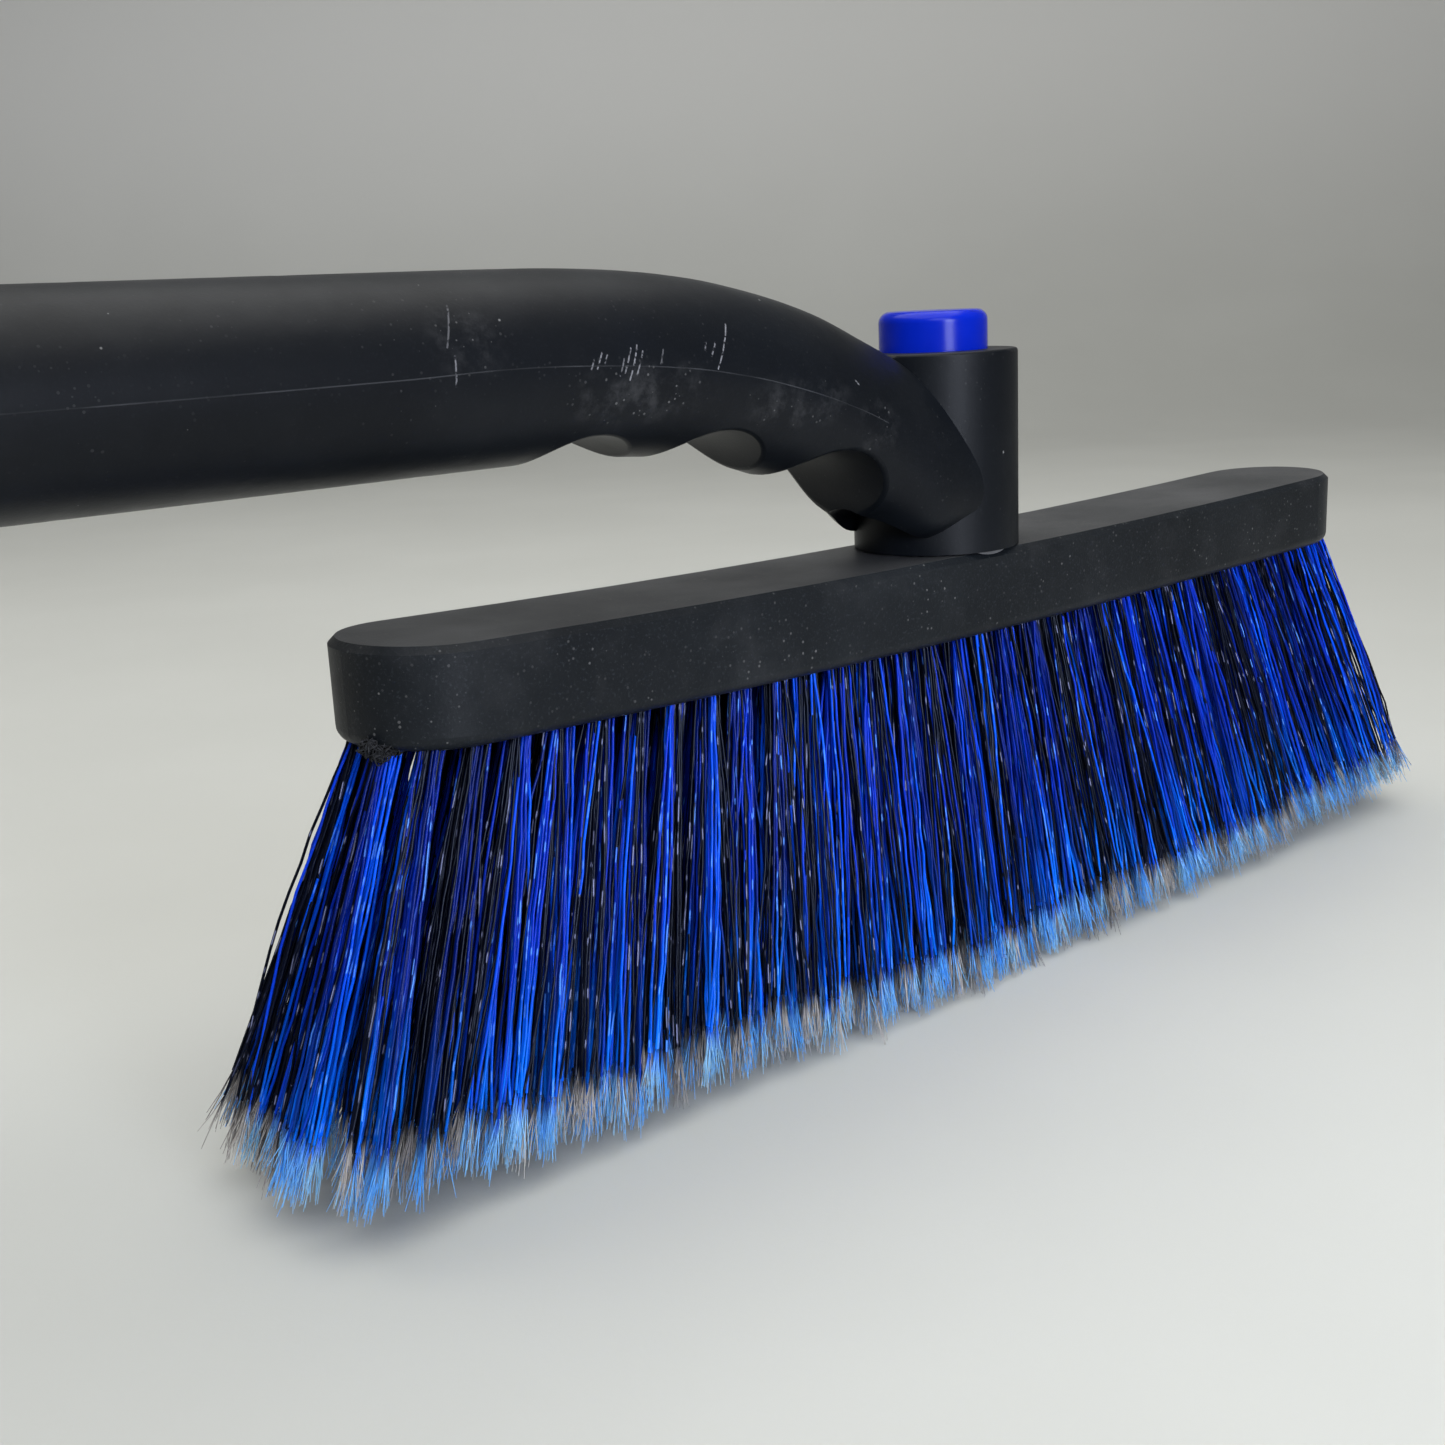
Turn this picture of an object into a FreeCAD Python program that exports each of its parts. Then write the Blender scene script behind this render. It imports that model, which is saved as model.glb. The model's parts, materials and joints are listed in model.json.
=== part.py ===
"""Hand broom for clearing snow: a bristle head that swivels under a finger-grooved handle.

A push button in the handle's boss releases the head, which then turns about a vertical post.

The row's frame has +X towards the free end of the head, +Z up, and z = 0 on the plane that the
longest bristles stand on. The model is drawn about the swivel axis, which is x = y = 0, and every
piece is shifted along X as it is written, so that the finished broom is centred on the origin.
Heights named "above the block" count from the middle of the block's top face.
"""

import FreeCAD, Part
import math
import os

from FreeCAD import Vector

# ---- bristle block ----
BLOCK_LENGTH = 280.0
BLOCK_WIDTH = 32.0
BLOCK_THICKNESS = 17.0
BLOCK_BOW = 2.5  # the ends of the block stand this much higher than its middle
BLOCK_TOP_CHAMFER = 1.2
BLOCK_BOTTOM_FILLET = 2.4

# ---- bristle tufts ----
BRISTLE_LENGTH = 71.5  # free length below the block
TUFT_PITCH = 8.2
TUFTS_OUTER_ROW = 33
TUFTS_INNER_ROW = 34
ROW_INNER_Y = 3.5
ROW_OUTER_Y = 10.5
LEAN_END = math.radians(22.5)  # lean along X of the last tuft
LEAN_INNER = math.radians(3.2)  # lean across the block
LEAN_OUTER = math.radians(9.5)
HOLE_RADIUS = 2.2
HOLE_DEPTH = 11.5
TUFT_ROOT_RADIUS = 2.1
TUFT_TIP_RADIUS = 3.9
TUFT_TIP_SETBACK = 0.1  # keeps the slanted rims of the tips above z = 0
TUFT_STRAIGHT = 3.0  # the tuft starts to spread this far below the block
TUFT_TOP_GAP = 0.2  # between a tuft's folded end and the bottom of its hole
BLUE_CYCLE = (1, 0, 1, 1, 0)  # which tufts of a row are blue, repeated along the row
ANCHOR_THICKNESS = 0.45
ANCHOR_HEIGHT = 1.8
ANCHOR_BITE = 0.3  # how far each end of the anchor bites into the block
ANCHOR_LIFT = 1.0  # from the bottom of the hole to the anchor

# ---- stack heights ----
BLOCK_BOTTOM_Z = BRISTLE_LENGTH
BLOCK_TOP_Z = BLOCK_BOTTOM_Z + BLOCK_THICKNESS

# ---- boss on the neck, heights above the block ----
BOSS_RADIUS = 17.0
BOSS_BASE = 0.3
BOSS_RIM = 39.8
BOSS_RIM_FILLET = 0.7
BEARING_TOP = 14.0  # ledge that the retaining washer bears on

# ---- swivel post, heights above the block ----
RUNNING_CLEARANCE = 0.05
POST_RADIUS = 8.0
POST_BORE = 4.6
POST_TOP = 26.4
POST_WAIST_RADIUS = 6.3
POST_WAIST_BASE = 17.3
POST_WAIST_TOP = 21.0
POST_CORE_TOP = 9.0
SPRING_SEAT = 12.0
POST_SLOTS = 12
POST_SLOT_WIDTH = 3.0
FLANGE_RADIUS = 15.4
FLANGE_THICKNESS = 3.0
CLIP_GROOVE_BASE = 15.1
CLIP_GROOVE_HEIGHT = 1.2
CLIP_GROOVE_RADIUS = 7.0

# ---- turning stop: a tab under the boss in a curved channel of the post's flange ----
SWIVEL_HALF_RANGE = 90.0
STOP_INNER = 8.15
STOP_OUTER = 9.55
STOP_DEPTH = 1.3
STOP_HALF_ANGLE = 12.0
STOP_CLEARANCE = 0.15
STOP_ANGLE_CLEARANCE = 0.5

# ---- post screws ----
SCREW_X = 1.5 * TUFT_PITCH  # the screws take the places of four inner tufts
SCREW_Y = ROW_INNER_Y
SCREW_HEAD_RADIUS = 2.3
SCREW_SHANK_RADIUS = 1.45
SCREW_HEAD_DEPTH = 1.4
SCREW_LENGTH = 13.0
SCREW_SLACK = 0.1
SCREW_DRIVE_LENGTH = 2.8
SCREW_DRIVE_WIDTH = 0.7
SCREW_DRIVE_DEPTH = 0.8

# ---- washers and clip on the post ----
THRUST_WASHER_RADIUS = 14.6
THRUST_WASHER_BORE_RADIUS = 10.05
THRUST_WASHER_PLAY = 0.04
RETAINING_WASHER_RADIUS = 10.4
RETAINING_WASHER_THICKNESS = 0.95
CLIP_RADIUS = 9.6
CLIP_OPENING = 5.0
CLIP_SIDE_PLAY = 0.05
CLIP_PLAY = 0.03

# ---- release button, heights above the block ----
BUTTON_RADIUS = 11.0
BUTTON_TOP = 47.7
BUTTON_TOP_FILLET = 2.2
BUTTON_TRAVEL = 5.0
BUTTON_ROOF = 2.2
SKIRT_BASE = 22.0
SKIRT_INNER_RADIUS = 9.2
STEM_RADIUS = 3.1
STEM_BASE = 28.0
SPRING_TOP = 38.0
SPRING_COLLAR_RADIUS = 5.2
BUTTON_CLEARANCE = 0.08
LUG_COUNT = 3
FIRST_LUG = 60.0  # bearing of the first lug from +X, in degrees
LUG_WIDTH = 5.0
LUG_RADIUS = 12.4
LUG_BASE = 23.0
LUG_HEIGHT = 4.0
DOG_COUNT = 4
DOG_WIDTH = 2.4
DOG_HEIGHT = 3.4
DOG_CLEARANCE = 0.3  # the dogs stop this far outside the post
KEYWAY_CLEARANCE = 0.2
KEYWAY_BOTTOM_GAP = 0.5
KEYWAY_TOP_GAP = 0.1

# ---- button spring ----
SPRING_MEAN_RADIUS = 3.85
SPRING_WIRE_RADIUS = 0.4
SPRING_COILS = 8

# ---- handle, along X from the swivel axis and above the block ----
HANDLE_MID = 42.65
HANDLE_HALF_HEIGHT = 15.85
NECK_END = -270.0
NECK_STRAIGHT = -132.0
NECK_SECTION_POINTS = 28
NECK_SECTIONS = 28
# Each station of the neck: x, top, bottom, height of the widest line, half width, squareness of
# the lower half. Squareness 2 is an ellipse and a larger number is boxier.
NECK_STATIONS = (
    (NECK_STRAIGHT, 58.5, 26.8, 42.6, 16.2, 2.0),
    (-116.0, 58.5, 26.8, 42.6, 16.2, 2.0),
    (-100.0, 58.4, 26.8, 42.4, 16.2, 2.0),
    (-84.0, 57.8, 26.2, 41.5, 16.2, 2.0),
    (-68.0, 56.2, 24.2, 39.4, 16.0, 2.0),
    (-53.0, 53.3, 20.6, 35.8, 15.8, 2.0),
    (-39.0, 49.4, 14.8, 30.0, 15.8, 1.9),
    (-26.0, 44.1, 8.4, 22.6, 15.5, 2.0),
    (-14.0, 38.6, 2.4, 15.5, 16.4, 2.6),
    (-3.0, 33.0, 2.6, 13.0, 16.4, 2.6),
)
# Each finger groove: x of its axis, height of its deepest line, radius.
FINGER_GROOVES = (
    (-95.0, 31.1, 15.5),
    (-67.7, 29.7, 14.5),
    (-40.1, 23.7, 12.8),
)
GROOVE_EDGE_FILLET = 1.2
# Arched channel under the neck, between the last groove and the boss.
ARCH_RADIUS = 10.5
ARCH_TOP = 10.6
ARCH_START = -34.0

# ---- pole and its fixings ----
POLE_RADIUS = 12.5
POLE_WALL = 1.2
POLE_START = -165.0
POLE_END = -560.0
SOCKET_RADIUS = 12.55
NECK_CORE_RADIUS = 10.5
NECK_CORE_START = -128.0
POLE_SCREW_XS = (-255.0, -205.0)
POLE_SCREW_LENGTH = 9.0
POLE_SCREW_RADIUS = 1.75
POLE_SCREW_HEAD_RADIUS = 3.4
POLE_SCREW_HEAD_HEIGHT = 2.2
POLE_SCREW_WALL = 1.2  # plastic left between the head's seat and the underside's lowest line
POLE_SCREW_POCKET = 10.0  # how far the head's pocket runs out through the underside
POLE_SCREW_DRIVE_LENGTH = 3.6
POLE_SCREW_DRIVE_WIDTH = 0.8
POLE_SCREW_DRIVE_DEPTH = 1.2
NECK_SCREW_SLACK = 0.1
POLE_HOLE_SLACK = 0.05

# ---- grip sleeve and end cap ----
SLEEVE_START = -425.0
SLEEVE_END = -556.0
SLEEVE_RADIUS = 16.5
SLEEVE_BORE = 12.52
SLEEVE_END_FILLET = 2.5
CAP_LENGTH = 30.0
CAP_RADIUS = 17.0
CAP_LIP = 6.0
CAP_PLUG_LENGTH = 22.0
CAP_PLUG_RADIUS = 11.25
CAP_TAB_THICKNESS = 9.0
CAP_LIP_FILLET = 1.5
CAP_EYE_WALL = 5.5  # material round the hang hole
HANG_HOLE_RADIUS = 4.5


def above_block(height):
    return BLOCK_TOP_Z + height


def cylinder(radius, low, high, x=0.0, y=0.0):
    """Upright cylinder between two heights above the block."""
    return Part.makeCylinder(radius, high - low, Vector(x, y, above_block(low)))


def ring(outer, inner, low, high):
    return cylinder(outer, low, high).cut(cylinder(inner, low, high))


def sector(outer, inner, low, high, half_angle):
    """Part of a ring, symmetric about the -X direction."""
    height = high - low
    base = Vector(0, 0, above_block(low))
    up = Vector(0, 0, 1)
    piece = Part.makeCylinder(outer, height, base, up, 2 * half_angle)
    piece = piece.cut(Part.makeCylinder(inner, height, base, up, 360))
    piece.rotate(Vector(0, 0, 0), up, 180.0 - half_angle)
    return piece


def lengthwise(radius, start, end, z):
    """Cylinder along X between two stations."""
    return Part.makeCylinder(radius, end - start, Vector(start, 0, z), Vector(1, 0, 0))


def around(shape, count, first=0.0):
    """Copies of a shape at equal angles about the swivel axis."""
    copies = []
    for index in range(count):
        copy = shape.copy()
        copy.rotate(Vector(0, 0, 0), Vector(0, 0, 1), first + 360.0 * index / count)
        copies.append(copy)
    return Part.makeCompound(copies)


def bar(width, inner, outer, low, high):
    """Radial bar along +X from one radius to another."""
    return Part.makeBox(outer - inner, width, high - low, Vector(inner, -width / 2, above_block(low)))


# ---------------------------------------------------------------- bristle block and tufts


def bow_height(x):
    """How much the block's faces rise at x, on the circle that gives BLOCK_BOW at the ends."""
    half = BLOCK_LENGTH / 2
    radius = (half**2 + BLOCK_BOW**2) / (2 * BLOCK_BOW)
    return radius - math.sqrt(radius**2 - x**2)


def bowed_slab():
    """Side profile of the block, two shallow arcs joined at the ends, drawn across its width."""
    half = BLOCK_LENGTH / 2
    rise = bow_height(half)
    low, high = BLOCK_BOTTOM_Z, BLOCK_TOP_Z
    y = -BLOCK_WIDTH / 2
    bottom = Part.Arc(Vector(-half, y, low + rise), Vector(0, y, low), Vector(half, y, low + rise))
    top = Part.Arc(Vector(half, y, high + rise), Vector(0, y, high), Vector(-half, y, high + rise))
    right = Part.makeLine(Vector(half, y, low + rise), Vector(half, y, high + rise))
    left = Part.makeLine(Vector(-half, y, high + rise), Vector(-half, y, low + rise))
    outline = Part.Wire([bottom.toShape(), right, top.toShape(), left])
    return Part.Face(outline).extrude(Vector(0, BLOCK_WIDTH, 0))


def stadium_prism():
    """Upright prism with the block's outline: straight sides and half-round ends."""
    straight = BLOCK_LENGTH / 2 - BLOCK_WIDTH / 2
    low = BLOCK_BOTTOM_Z - BLOCK_BOW
    height = BLOCK_THICKNESS + 4 * BLOCK_BOW
    middle = Part.makeBox(2 * straight, BLOCK_WIDTH, height, Vector(-straight, -BLOCK_WIDTH / 2, low))
    for x in (-straight, straight):
        middle = middle.fuse(Part.makeCylinder(BLOCK_WIDTH / 2, height, Vector(x, 0, low)))
    return middle.removeSplitter()


def face_edges(shape, height):
    """Edges that lie wholly near the bowed top or bottom face."""
    chosen = []
    for edge in shape.Edges:
        points = edge.discretize(5)
        if all(abs(p.z - height - bow_height(min(abs(p.x), BLOCK_LENGTH / 2))) < 0.2 for p in points):
            chosen.append(edge)
    return chosen


def block_body():
    body = bowed_slab().common(stadium_prism())
    body = body.makeChamfer(BLOCK_TOP_CHAMFER, face_edges(body, BLOCK_TOP_Z))
    return body.makeFillet(BLOCK_BOTTOM_FILLET, face_edges(body, BLOCK_BOTTOM_Z))


def row_places(y):
    """X of every tuft in a row: outer rows have one at x = 0, inner rows straddle it."""
    count = TUFTS_OUTER_ROW if abs(y) == ROW_OUTER_Y else TUFTS_INNER_ROW
    places = [(index - (count - 1) / 2) * TUFT_PITCH for index in range(count)]
    if abs(y) == ROW_OUTER_Y:
        return places
    return [x for x in places if abs(abs(x) - SCREW_X) > 0.1]


def tuft_axis(x, y):
    """Root point on the block's underside, and the direction that the tuft points in."""
    last = (TUFTS_INNER_ROW - 1) / 2 * TUFT_PITCH
    lean_x = LEAN_END * x / last
    lean_y = math.copysign(LEAN_OUTER if abs(y) == ROW_OUTER_Y else LEAN_INNER, y)
    direction = Vector(math.tan(lean_x), math.tan(lean_y), -1.0).normalize()
    return Vector(x, y, BLOCK_BOTTOM_Z + bow_height(x)), direction


def tuft(x, y):
    """One bundle of bristles: straight inside its hole, then spreading towards the tips."""
    root, direction = tuft_axis(x, y)
    top = root - direction * (HOLE_DEPTH - TUFT_TOP_GAP)
    neck = root + direction * TUFT_STRAIGHT
    tip = root + direction * (BRISTLE_LENGTH - TUFT_TIP_SETBACK)
    shank = Part.makeCylinder(TUFT_ROOT_RADIUS, (neck - top).Length, top, direction)
    spread = Part.makeCone(TUFT_ROOT_RADIUS, TUFT_TIP_RADIUS, (tip - neck).Length, neck, direction)
    return shank.fuse(spread)


def tuft_hole(x, y):
    root, direction = tuft_axis(x, y)
    return Part.makeCylinder(HOLE_RADIUS, HOLE_DEPTH + 4, root - direction * HOLE_DEPTH, direction)


def tuft_anchor(x, y):
    """Flat wire across the bottom of a tuft hole, which holds the folded tuft in the block."""
    root, direction = tuft_axis(x, y)
    length = 2 * (HOLE_RADIUS + ANCHOR_BITE)
    plate = Part.makeBox(
        ANCHOR_THICKNESS, length, ANCHOR_HEIGHT, Vector(-ANCHOR_THICKNESS / 2, -length / 2, 0)
    )
    plate.Placement = FreeCAD.Placement(
        root - direction * (HOLE_DEPTH - ANCHOR_LIFT), FreeCAD.Rotation(Vector(0, 0, 1), direction)
    )
    return plate


def bristle_block():
    body = block_body()
    places = [(x, y) for y in ROWS for x in row_places(y)]
    body = body.cut(Part.makeCompound([tuft_hole(x, y) for x, y in places]))
    recess = cylinder(FLANGE_RADIUS + RUNNING_CLEARANCE, -FLANGE_THICKNESS, 5)
    pilots = [cylinder(SCREW_SHANK_RADIUS, -SCREW_LENGTH, 0, x, y) for x, y in screw_places()]
    return body.cut(recess).cut(Part.makeCompound(pilots))


# ---------------------------------------------------------------- swivel post and its fixings


def screw_places():
    return [(x, y) for x in (-SCREW_X, SCREW_X) for y in (-SCREW_Y, SCREW_Y)]


def cross_recess(base, length, width, depth):
    """Cross of two slots for a screwdriver, standing on its base point."""
    slots = []
    for along, across in ((length, width), (width, length)):
        corner = base - Vector(along / 2, across / 2, 0)
        slots.append(Part.makeBox(along, across, depth, corner))
    return slots[0].fuse(slots[1])


def countersunk_screw(x, y, slack=0.0):
    """Countersunk screw, head flush with the flange; slack widens it into its own hole."""
    head = Part.makeCone(
        SCREW_SHANK_RADIUS + slack,
        SCREW_HEAD_RADIUS + slack,
        SCREW_HEAD_DEPTH,
        Vector(x, y, above_block(-SCREW_HEAD_DEPTH)),
    )
    return head.fuse(cylinder(SCREW_SHANK_RADIUS + slack, -SCREW_LENGTH, -SCREW_HEAD_DEPTH, x, y))


def post_screws():
    screws = []
    for x, y in screw_places():
        base = Vector(x, y, above_block(-SCREW_DRIVE_DEPTH))
        drive = cross_recess(base, SCREW_DRIVE_LENGTH, SCREW_DRIVE_WIDTH, SCREW_DRIVE_DEPTH)
        screws.append(countersunk_screw(x, y).cut(drive))
    return Part.makeCompound(screws)


def swivel_post():
    """Hollow post on a flange, with a waist that frees the dogs and a slotted crown above it."""
    post = cylinder(FLANGE_RADIUS, -FLANGE_THICKNESS, 0).fuse(cylinder(POST_RADIUS, 0, POST_TOP))
    post = post.cut(cylinder(POST_BORE, -FLANGE_THICKNESS, POST_CORE_TOP))
    post = post.cut(cylinder(POST_BORE, SPRING_SEAT, POST_TOP))
    groove_top = CLIP_GROOVE_BASE + CLIP_GROOVE_HEIGHT
    wide = POST_RADIUS + 1
    post = post.cut(ring(wide, CLIP_GROOVE_RADIUS, CLIP_GROOVE_BASE, groove_top))
    post = post.cut(ring(wide, POST_WAIST_RADIUS, POST_WAIST_BASE, POST_WAIST_TOP))
    slot = bar(POST_SLOT_WIDTH, POST_WAIST_RADIUS, wide, POST_WAIST_TOP, POST_TOP + 1)
    post = post.cut(around(slot, POST_SLOTS))
    channel = sector(
        STOP_OUTER + STOP_CLEARANCE,
        POST_RADIUS,
        -STOP_DEPTH - STOP_CLEARANCE,
        0,
        SWIVEL_HALF_RANGE + STOP_HALF_ANGLE + STOP_ANGLE_CLEARANCE,
    )
    for x, y in screw_places():
        post = post.cut(countersunk_screw(x, y, SCREW_SLACK))
    return post.cut(channel)


def thrust_washer():
    return ring(THRUST_WASHER_RADIUS, THRUST_WASHER_BORE_RADIUS, 0.0, BOSS_BASE - THRUST_WASHER_PLAY)


def retaining_washer():
    low = BEARING_TOP + RUNNING_CLEARANCE
    bore = POST_RADIUS + 2 * RUNNING_CLEARANCE
    return ring(RETAINING_WASHER_RADIUS, bore, low, low + RETAINING_WASHER_THICKNESS)


def retaining_clip():
    """Open ring snapped into the post's groove above the washer."""
    low = CLIP_GROOVE_BASE + CLIP_SIDE_PLAY
    high = CLIP_GROOVE_BASE + CLIP_GROOVE_HEIGHT - CLIP_SIDE_PLAY
    clip = ring(CLIP_RADIUS, CLIP_GROOVE_RADIUS + CLIP_PLAY, low, high)
    return clip.cut(bar(CLIP_OPENING, 0.0, CLIP_RADIUS + 1, low - 1, high + 1))


# ---------------------------------------------------------------- release button and its spring


def release_button():
    """Hollow cap with a skirt, snap lugs that run in the boss's keyways, and lock dogs inside."""
    button = cylinder(BUTTON_RADIUS, SKIRT_BASE, BUTTON_TOP)
    rim = [e for e in button.Edges if e.Closed and abs(e.BoundBox.ZMin - above_block(BUTTON_TOP)) < 0.01]
    button = button.makeFillet(BUTTON_TOP_FILLET, rim)
    roof = BUTTON_TOP - BUTTON_ROOF
    button = button.cut(cylinder(SKIRT_INNER_RADIUS, SKIRT_BASE, roof))
    button = button.fuse(cylinder(SPRING_COLLAR_RADIUS, SPRING_TOP, roof))
    button = button.fuse(cylinder(STEM_RADIUS, STEM_BASE, SPRING_TOP))
    lug = bar(LUG_WIDTH, SKIRT_INNER_RADIUS + 0.5, LUG_RADIUS, LUG_BASE, LUG_BASE + LUG_HEIGHT)
    button = button.fuse(around(lug, LUG_COUNT, FIRST_LUG))
    dog = bar(DOG_WIDTH, 0.0, SKIRT_INNER_RADIUS + 0.5, SKIRT_BASE, SKIRT_BASE + DOG_HEIGHT)
    inside = cylinder(POST_RADIUS + DOG_CLEARANCE, SKIRT_BASE - 1, SKIRT_BASE + DOG_HEIGHT + 1)
    return button.fuse(around(dog, DOG_COUNT).cut(inside)).removeSplitter()


def button_spring():
    """Compression spring between the web inside the post and the collar under the button."""
    low = SPRING_SEAT + 2 * SPRING_WIRE_RADIUS
    height = SPRING_TOP - SPRING_SEAT - 4 * SPRING_WIRE_RADIUS
    pitch = height / SPRING_COILS
    helix = Part.makeHelix(pitch, height, SPRING_MEAN_RADIUS)
    climb = math.atan2(pitch, 2 * math.pi * SPRING_MEAN_RADIUS)
    tangent = Vector(0, math.cos(climb), math.sin(climb))
    section = Part.Wire(Part.makeCircle(SPRING_WIRE_RADIUS, Vector(SPRING_MEAN_RADIUS, 0, 0), tangent))
    spring = Part.Wire(helix).makePipeShell([section], True, True)
    spring.translate(Vector(0, 0, above_block(low)))
    return spring


# ---------------------------------------------------------------- handle


def station_slopes():
    """Slope of each column of the station table at each row, flat where a column turns round."""
    rises = []
    for row, after in zip(NECK_STATIONS, NECK_STATIONS[1:]):
        rises.append([(b - a) / (after[0] - row[0]) for a, b in zip(row[1:], after[1:])])
    slopes = [[0.0] * len(rises[0])]
    for before, after in zip(rises, rises[1:]):
        slopes.append([2 * a * b / (a + b) if a * b > 0 else 0.0 for a, b in zip(before, after)])
    return slopes + [rises[-1]]


def neck_station(x):
    """Section sizes at x, on smooth curves through the table's rows that never overshoot them."""
    slopes = station_slopes()
    index = max(i for i, row in enumerate(NECK_STATIONS[:-1]) if row[0] <= x)
    row, after = NECK_STATIONS[index], NECK_STATIONS[index + 1]
    step = after[0] - row[0]
    t = (x - row[0]) / step
    sizes = []
    for a, b, rise_a, rise_b in zip(row[1:], after[1:], slopes[index], slopes[index + 1]):
        place = a * (1 + 2 * t) * (1 - t) ** 2 + b * t**2 * (3 - 2 * t)
        sizes.append(place + step * (rise_a * t * (1 - t) ** 2 - rise_b * t**2 * (1 - t)))
    return (x, *sizes)


def neck_section(x, top, bottom, mid, half_width, squareness):
    """Closed egg-shaped curve across the neck: an ellipse above its widest line, boxier below."""
    points = []
    for index in range(NECK_SECTION_POINTS):
        angle = 2 * math.pi * index / NECK_SECTION_POINTS
        across, up = math.cos(angle), math.sin(angle)
        power = 2.0 if up >= 0 else squareness
        scale = (abs(across) ** power + abs(up) ** power) ** (-1.0 / power)
        reach = top - mid if up >= 0 else mid - bottom
        points.append(Vector(x, half_width * across * scale, above_block(mid + reach * up * scale)))
    curve = Part.BSplineCurve()
    curve.interpolate(points, PeriodicFlag=True)
    return Part.Wire(curve.toShape())


def neck_outside():
    """Straight grip, then the neck that drops and deepens into the boss."""
    first, last = NECK_STATIONS[0], NECK_STATIONS[-1]
    step = (last[0] - first[0]) / (NECK_SECTIONS - 1)
    stations = [neck_station(first[0] + index * step) for index in range(NECK_SECTIONS - 1)] + [last]
    neck = Part.makeLoft([neck_section(*station) for station in stations], True)
    far = (NECK_END,) + first[1:]
    grip = Part.makeLoft([neck_section(*far), neck_section(*first)], True)
    return grip, neck


def finger_groove(x, top, radius):
    """Round cutter across the underside of the neck."""
    width = 2 * BLOCK_WIDTH  # clear of both sides of the neck
    centre = Vector(x, -width / 2, above_block(top - radius))
    return Part.makeCylinder(radius, width, centre, Vector(0, 1, 0))


def boss_outside():
    boss = cylinder(BOSS_RADIUS, BOSS_BASE, BOSS_RIM)
    rim = [e for e in boss.Edges if e.Closed and abs(e.BoundBox.ZMin - above_block(BOSS_RIM)) < 0.01]
    return boss.makeFillet(BOSS_RIM_FILLET, rim)


def groove_edges(shape):
    """Edges of the round faces that the finger cutter left, found by those faces' own radius."""
    radii = [radius for _, _, radius in FINGER_GROOVES]
    edges = []
    for face in shape.Faces:
        surface = face.Surface
        if surface.TypeId == "Part::GeomCylinder" and any(abs(surface.Radius - r) < 1e-6 for r in radii):
            edges.extend(face.Edges)
    return edges


def handle_neck():
    grip, neck = neck_outside()
    neck = grip.fuse(neck).removeSplitter()
    for groove in FINGER_GROOVES:
        neck = neck.cut(finger_groove(*groove))
    neck = neck.makeFillet(GROOVE_EDGE_FILLET, groove_edges(neck))
    neck = neck.cut(lengthwise(ARCH_RADIUS, ARCH_START, 0, above_block(ARCH_TOP - ARCH_RADIUS)))
    body = neck.fuse(boss_outside())
    body = body.cut(cylinder(BUTTON_RADIUS + BUTTON_CLEARANCE, BEARING_TOP, BUTTON_TOP))
    body = body.cut(cylinder(POST_RADIUS + RUNNING_CLEARANCE, BOSS_BASE - 1, BEARING_TOP + 1))
    keyway = bar(
        LUG_WIDTH + 2 * KEYWAY_CLEARANCE,
        BUTTON_RADIUS - 1,
        LUG_RADIUS + KEYWAY_CLEARANCE,
        LUG_BASE - BUTTON_TRAVEL - KEYWAY_BOTTOM_GAP,
        LUG_BASE + LUG_HEIGHT + KEYWAY_TOP_GAP,
    )
    body = body.cut(around(keyway, LUG_COUNT, FIRST_LUG))
    body = body.fuse(sector(STOP_OUTER, STOP_INNER, -STOP_DEPTH, BOSS_BASE + 1, STOP_HALF_ANGLE))
    axis_z = above_block(HANDLE_MID)
    body = body.cut(lengthwise(SOCKET_RADIUS, NECK_END - 1, POLE_START + 1, axis_z))
    body = body.cut(lengthwise(NECK_CORE_RADIUS, POLE_START, NECK_CORE_START, axis_z))
    return body.cut(Part.makeCompound([pole_screw(x, NECK_SCREW_SLACK) for x in POLE_SCREW_XS]))


def pole_screw(x, slack=0.0):
    """Pan-head screw from below, through the neck's wall into the pole; its head sits in a pocket."""
    seat = above_block(HANDLE_MID - HANDLE_HALF_HEIGHT) + POLE_SCREW_WALL
    head_length = POLE_SCREW_POCKET if slack else POLE_SCREW_HEAD_HEIGHT
    head = Part.makeCylinder(
        POLE_SCREW_HEAD_RADIUS + 3 * slack, head_length, Vector(x, 0, seat), Vector(0, 0, -1)
    )
    shank = Part.makeCylinder(POLE_SCREW_RADIUS + slack, POLE_SCREW_LENGTH, Vector(x, 0, seat))
    return head.fuse(shank)


def pole_screws():
    screws = []
    for x in POLE_SCREW_XS:
        screw = pole_screw(x)
        base = Vector(x, 0, screw.BoundBox.ZMin)
        drive = cross_recess(
            base, POLE_SCREW_DRIVE_LENGTH, POLE_SCREW_DRIVE_WIDTH, POLE_SCREW_DRIVE_DEPTH
        )
        screws.append(screw.cut(drive))
    return Part.makeCompound(screws)


def pole():
    axis_z = above_block(HANDLE_MID)
    tube = lengthwise(POLE_RADIUS, POLE_END, POLE_START, axis_z)
    tube = tube.cut(lengthwise(POLE_RADIUS - POLE_WALL, POLE_END, POLE_START, axis_z))
    holes = [pole_screw(x, POLE_HOLE_SLACK) for x in POLE_SCREW_XS]
    return tube.cut(Part.makeCompound(holes))


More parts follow.
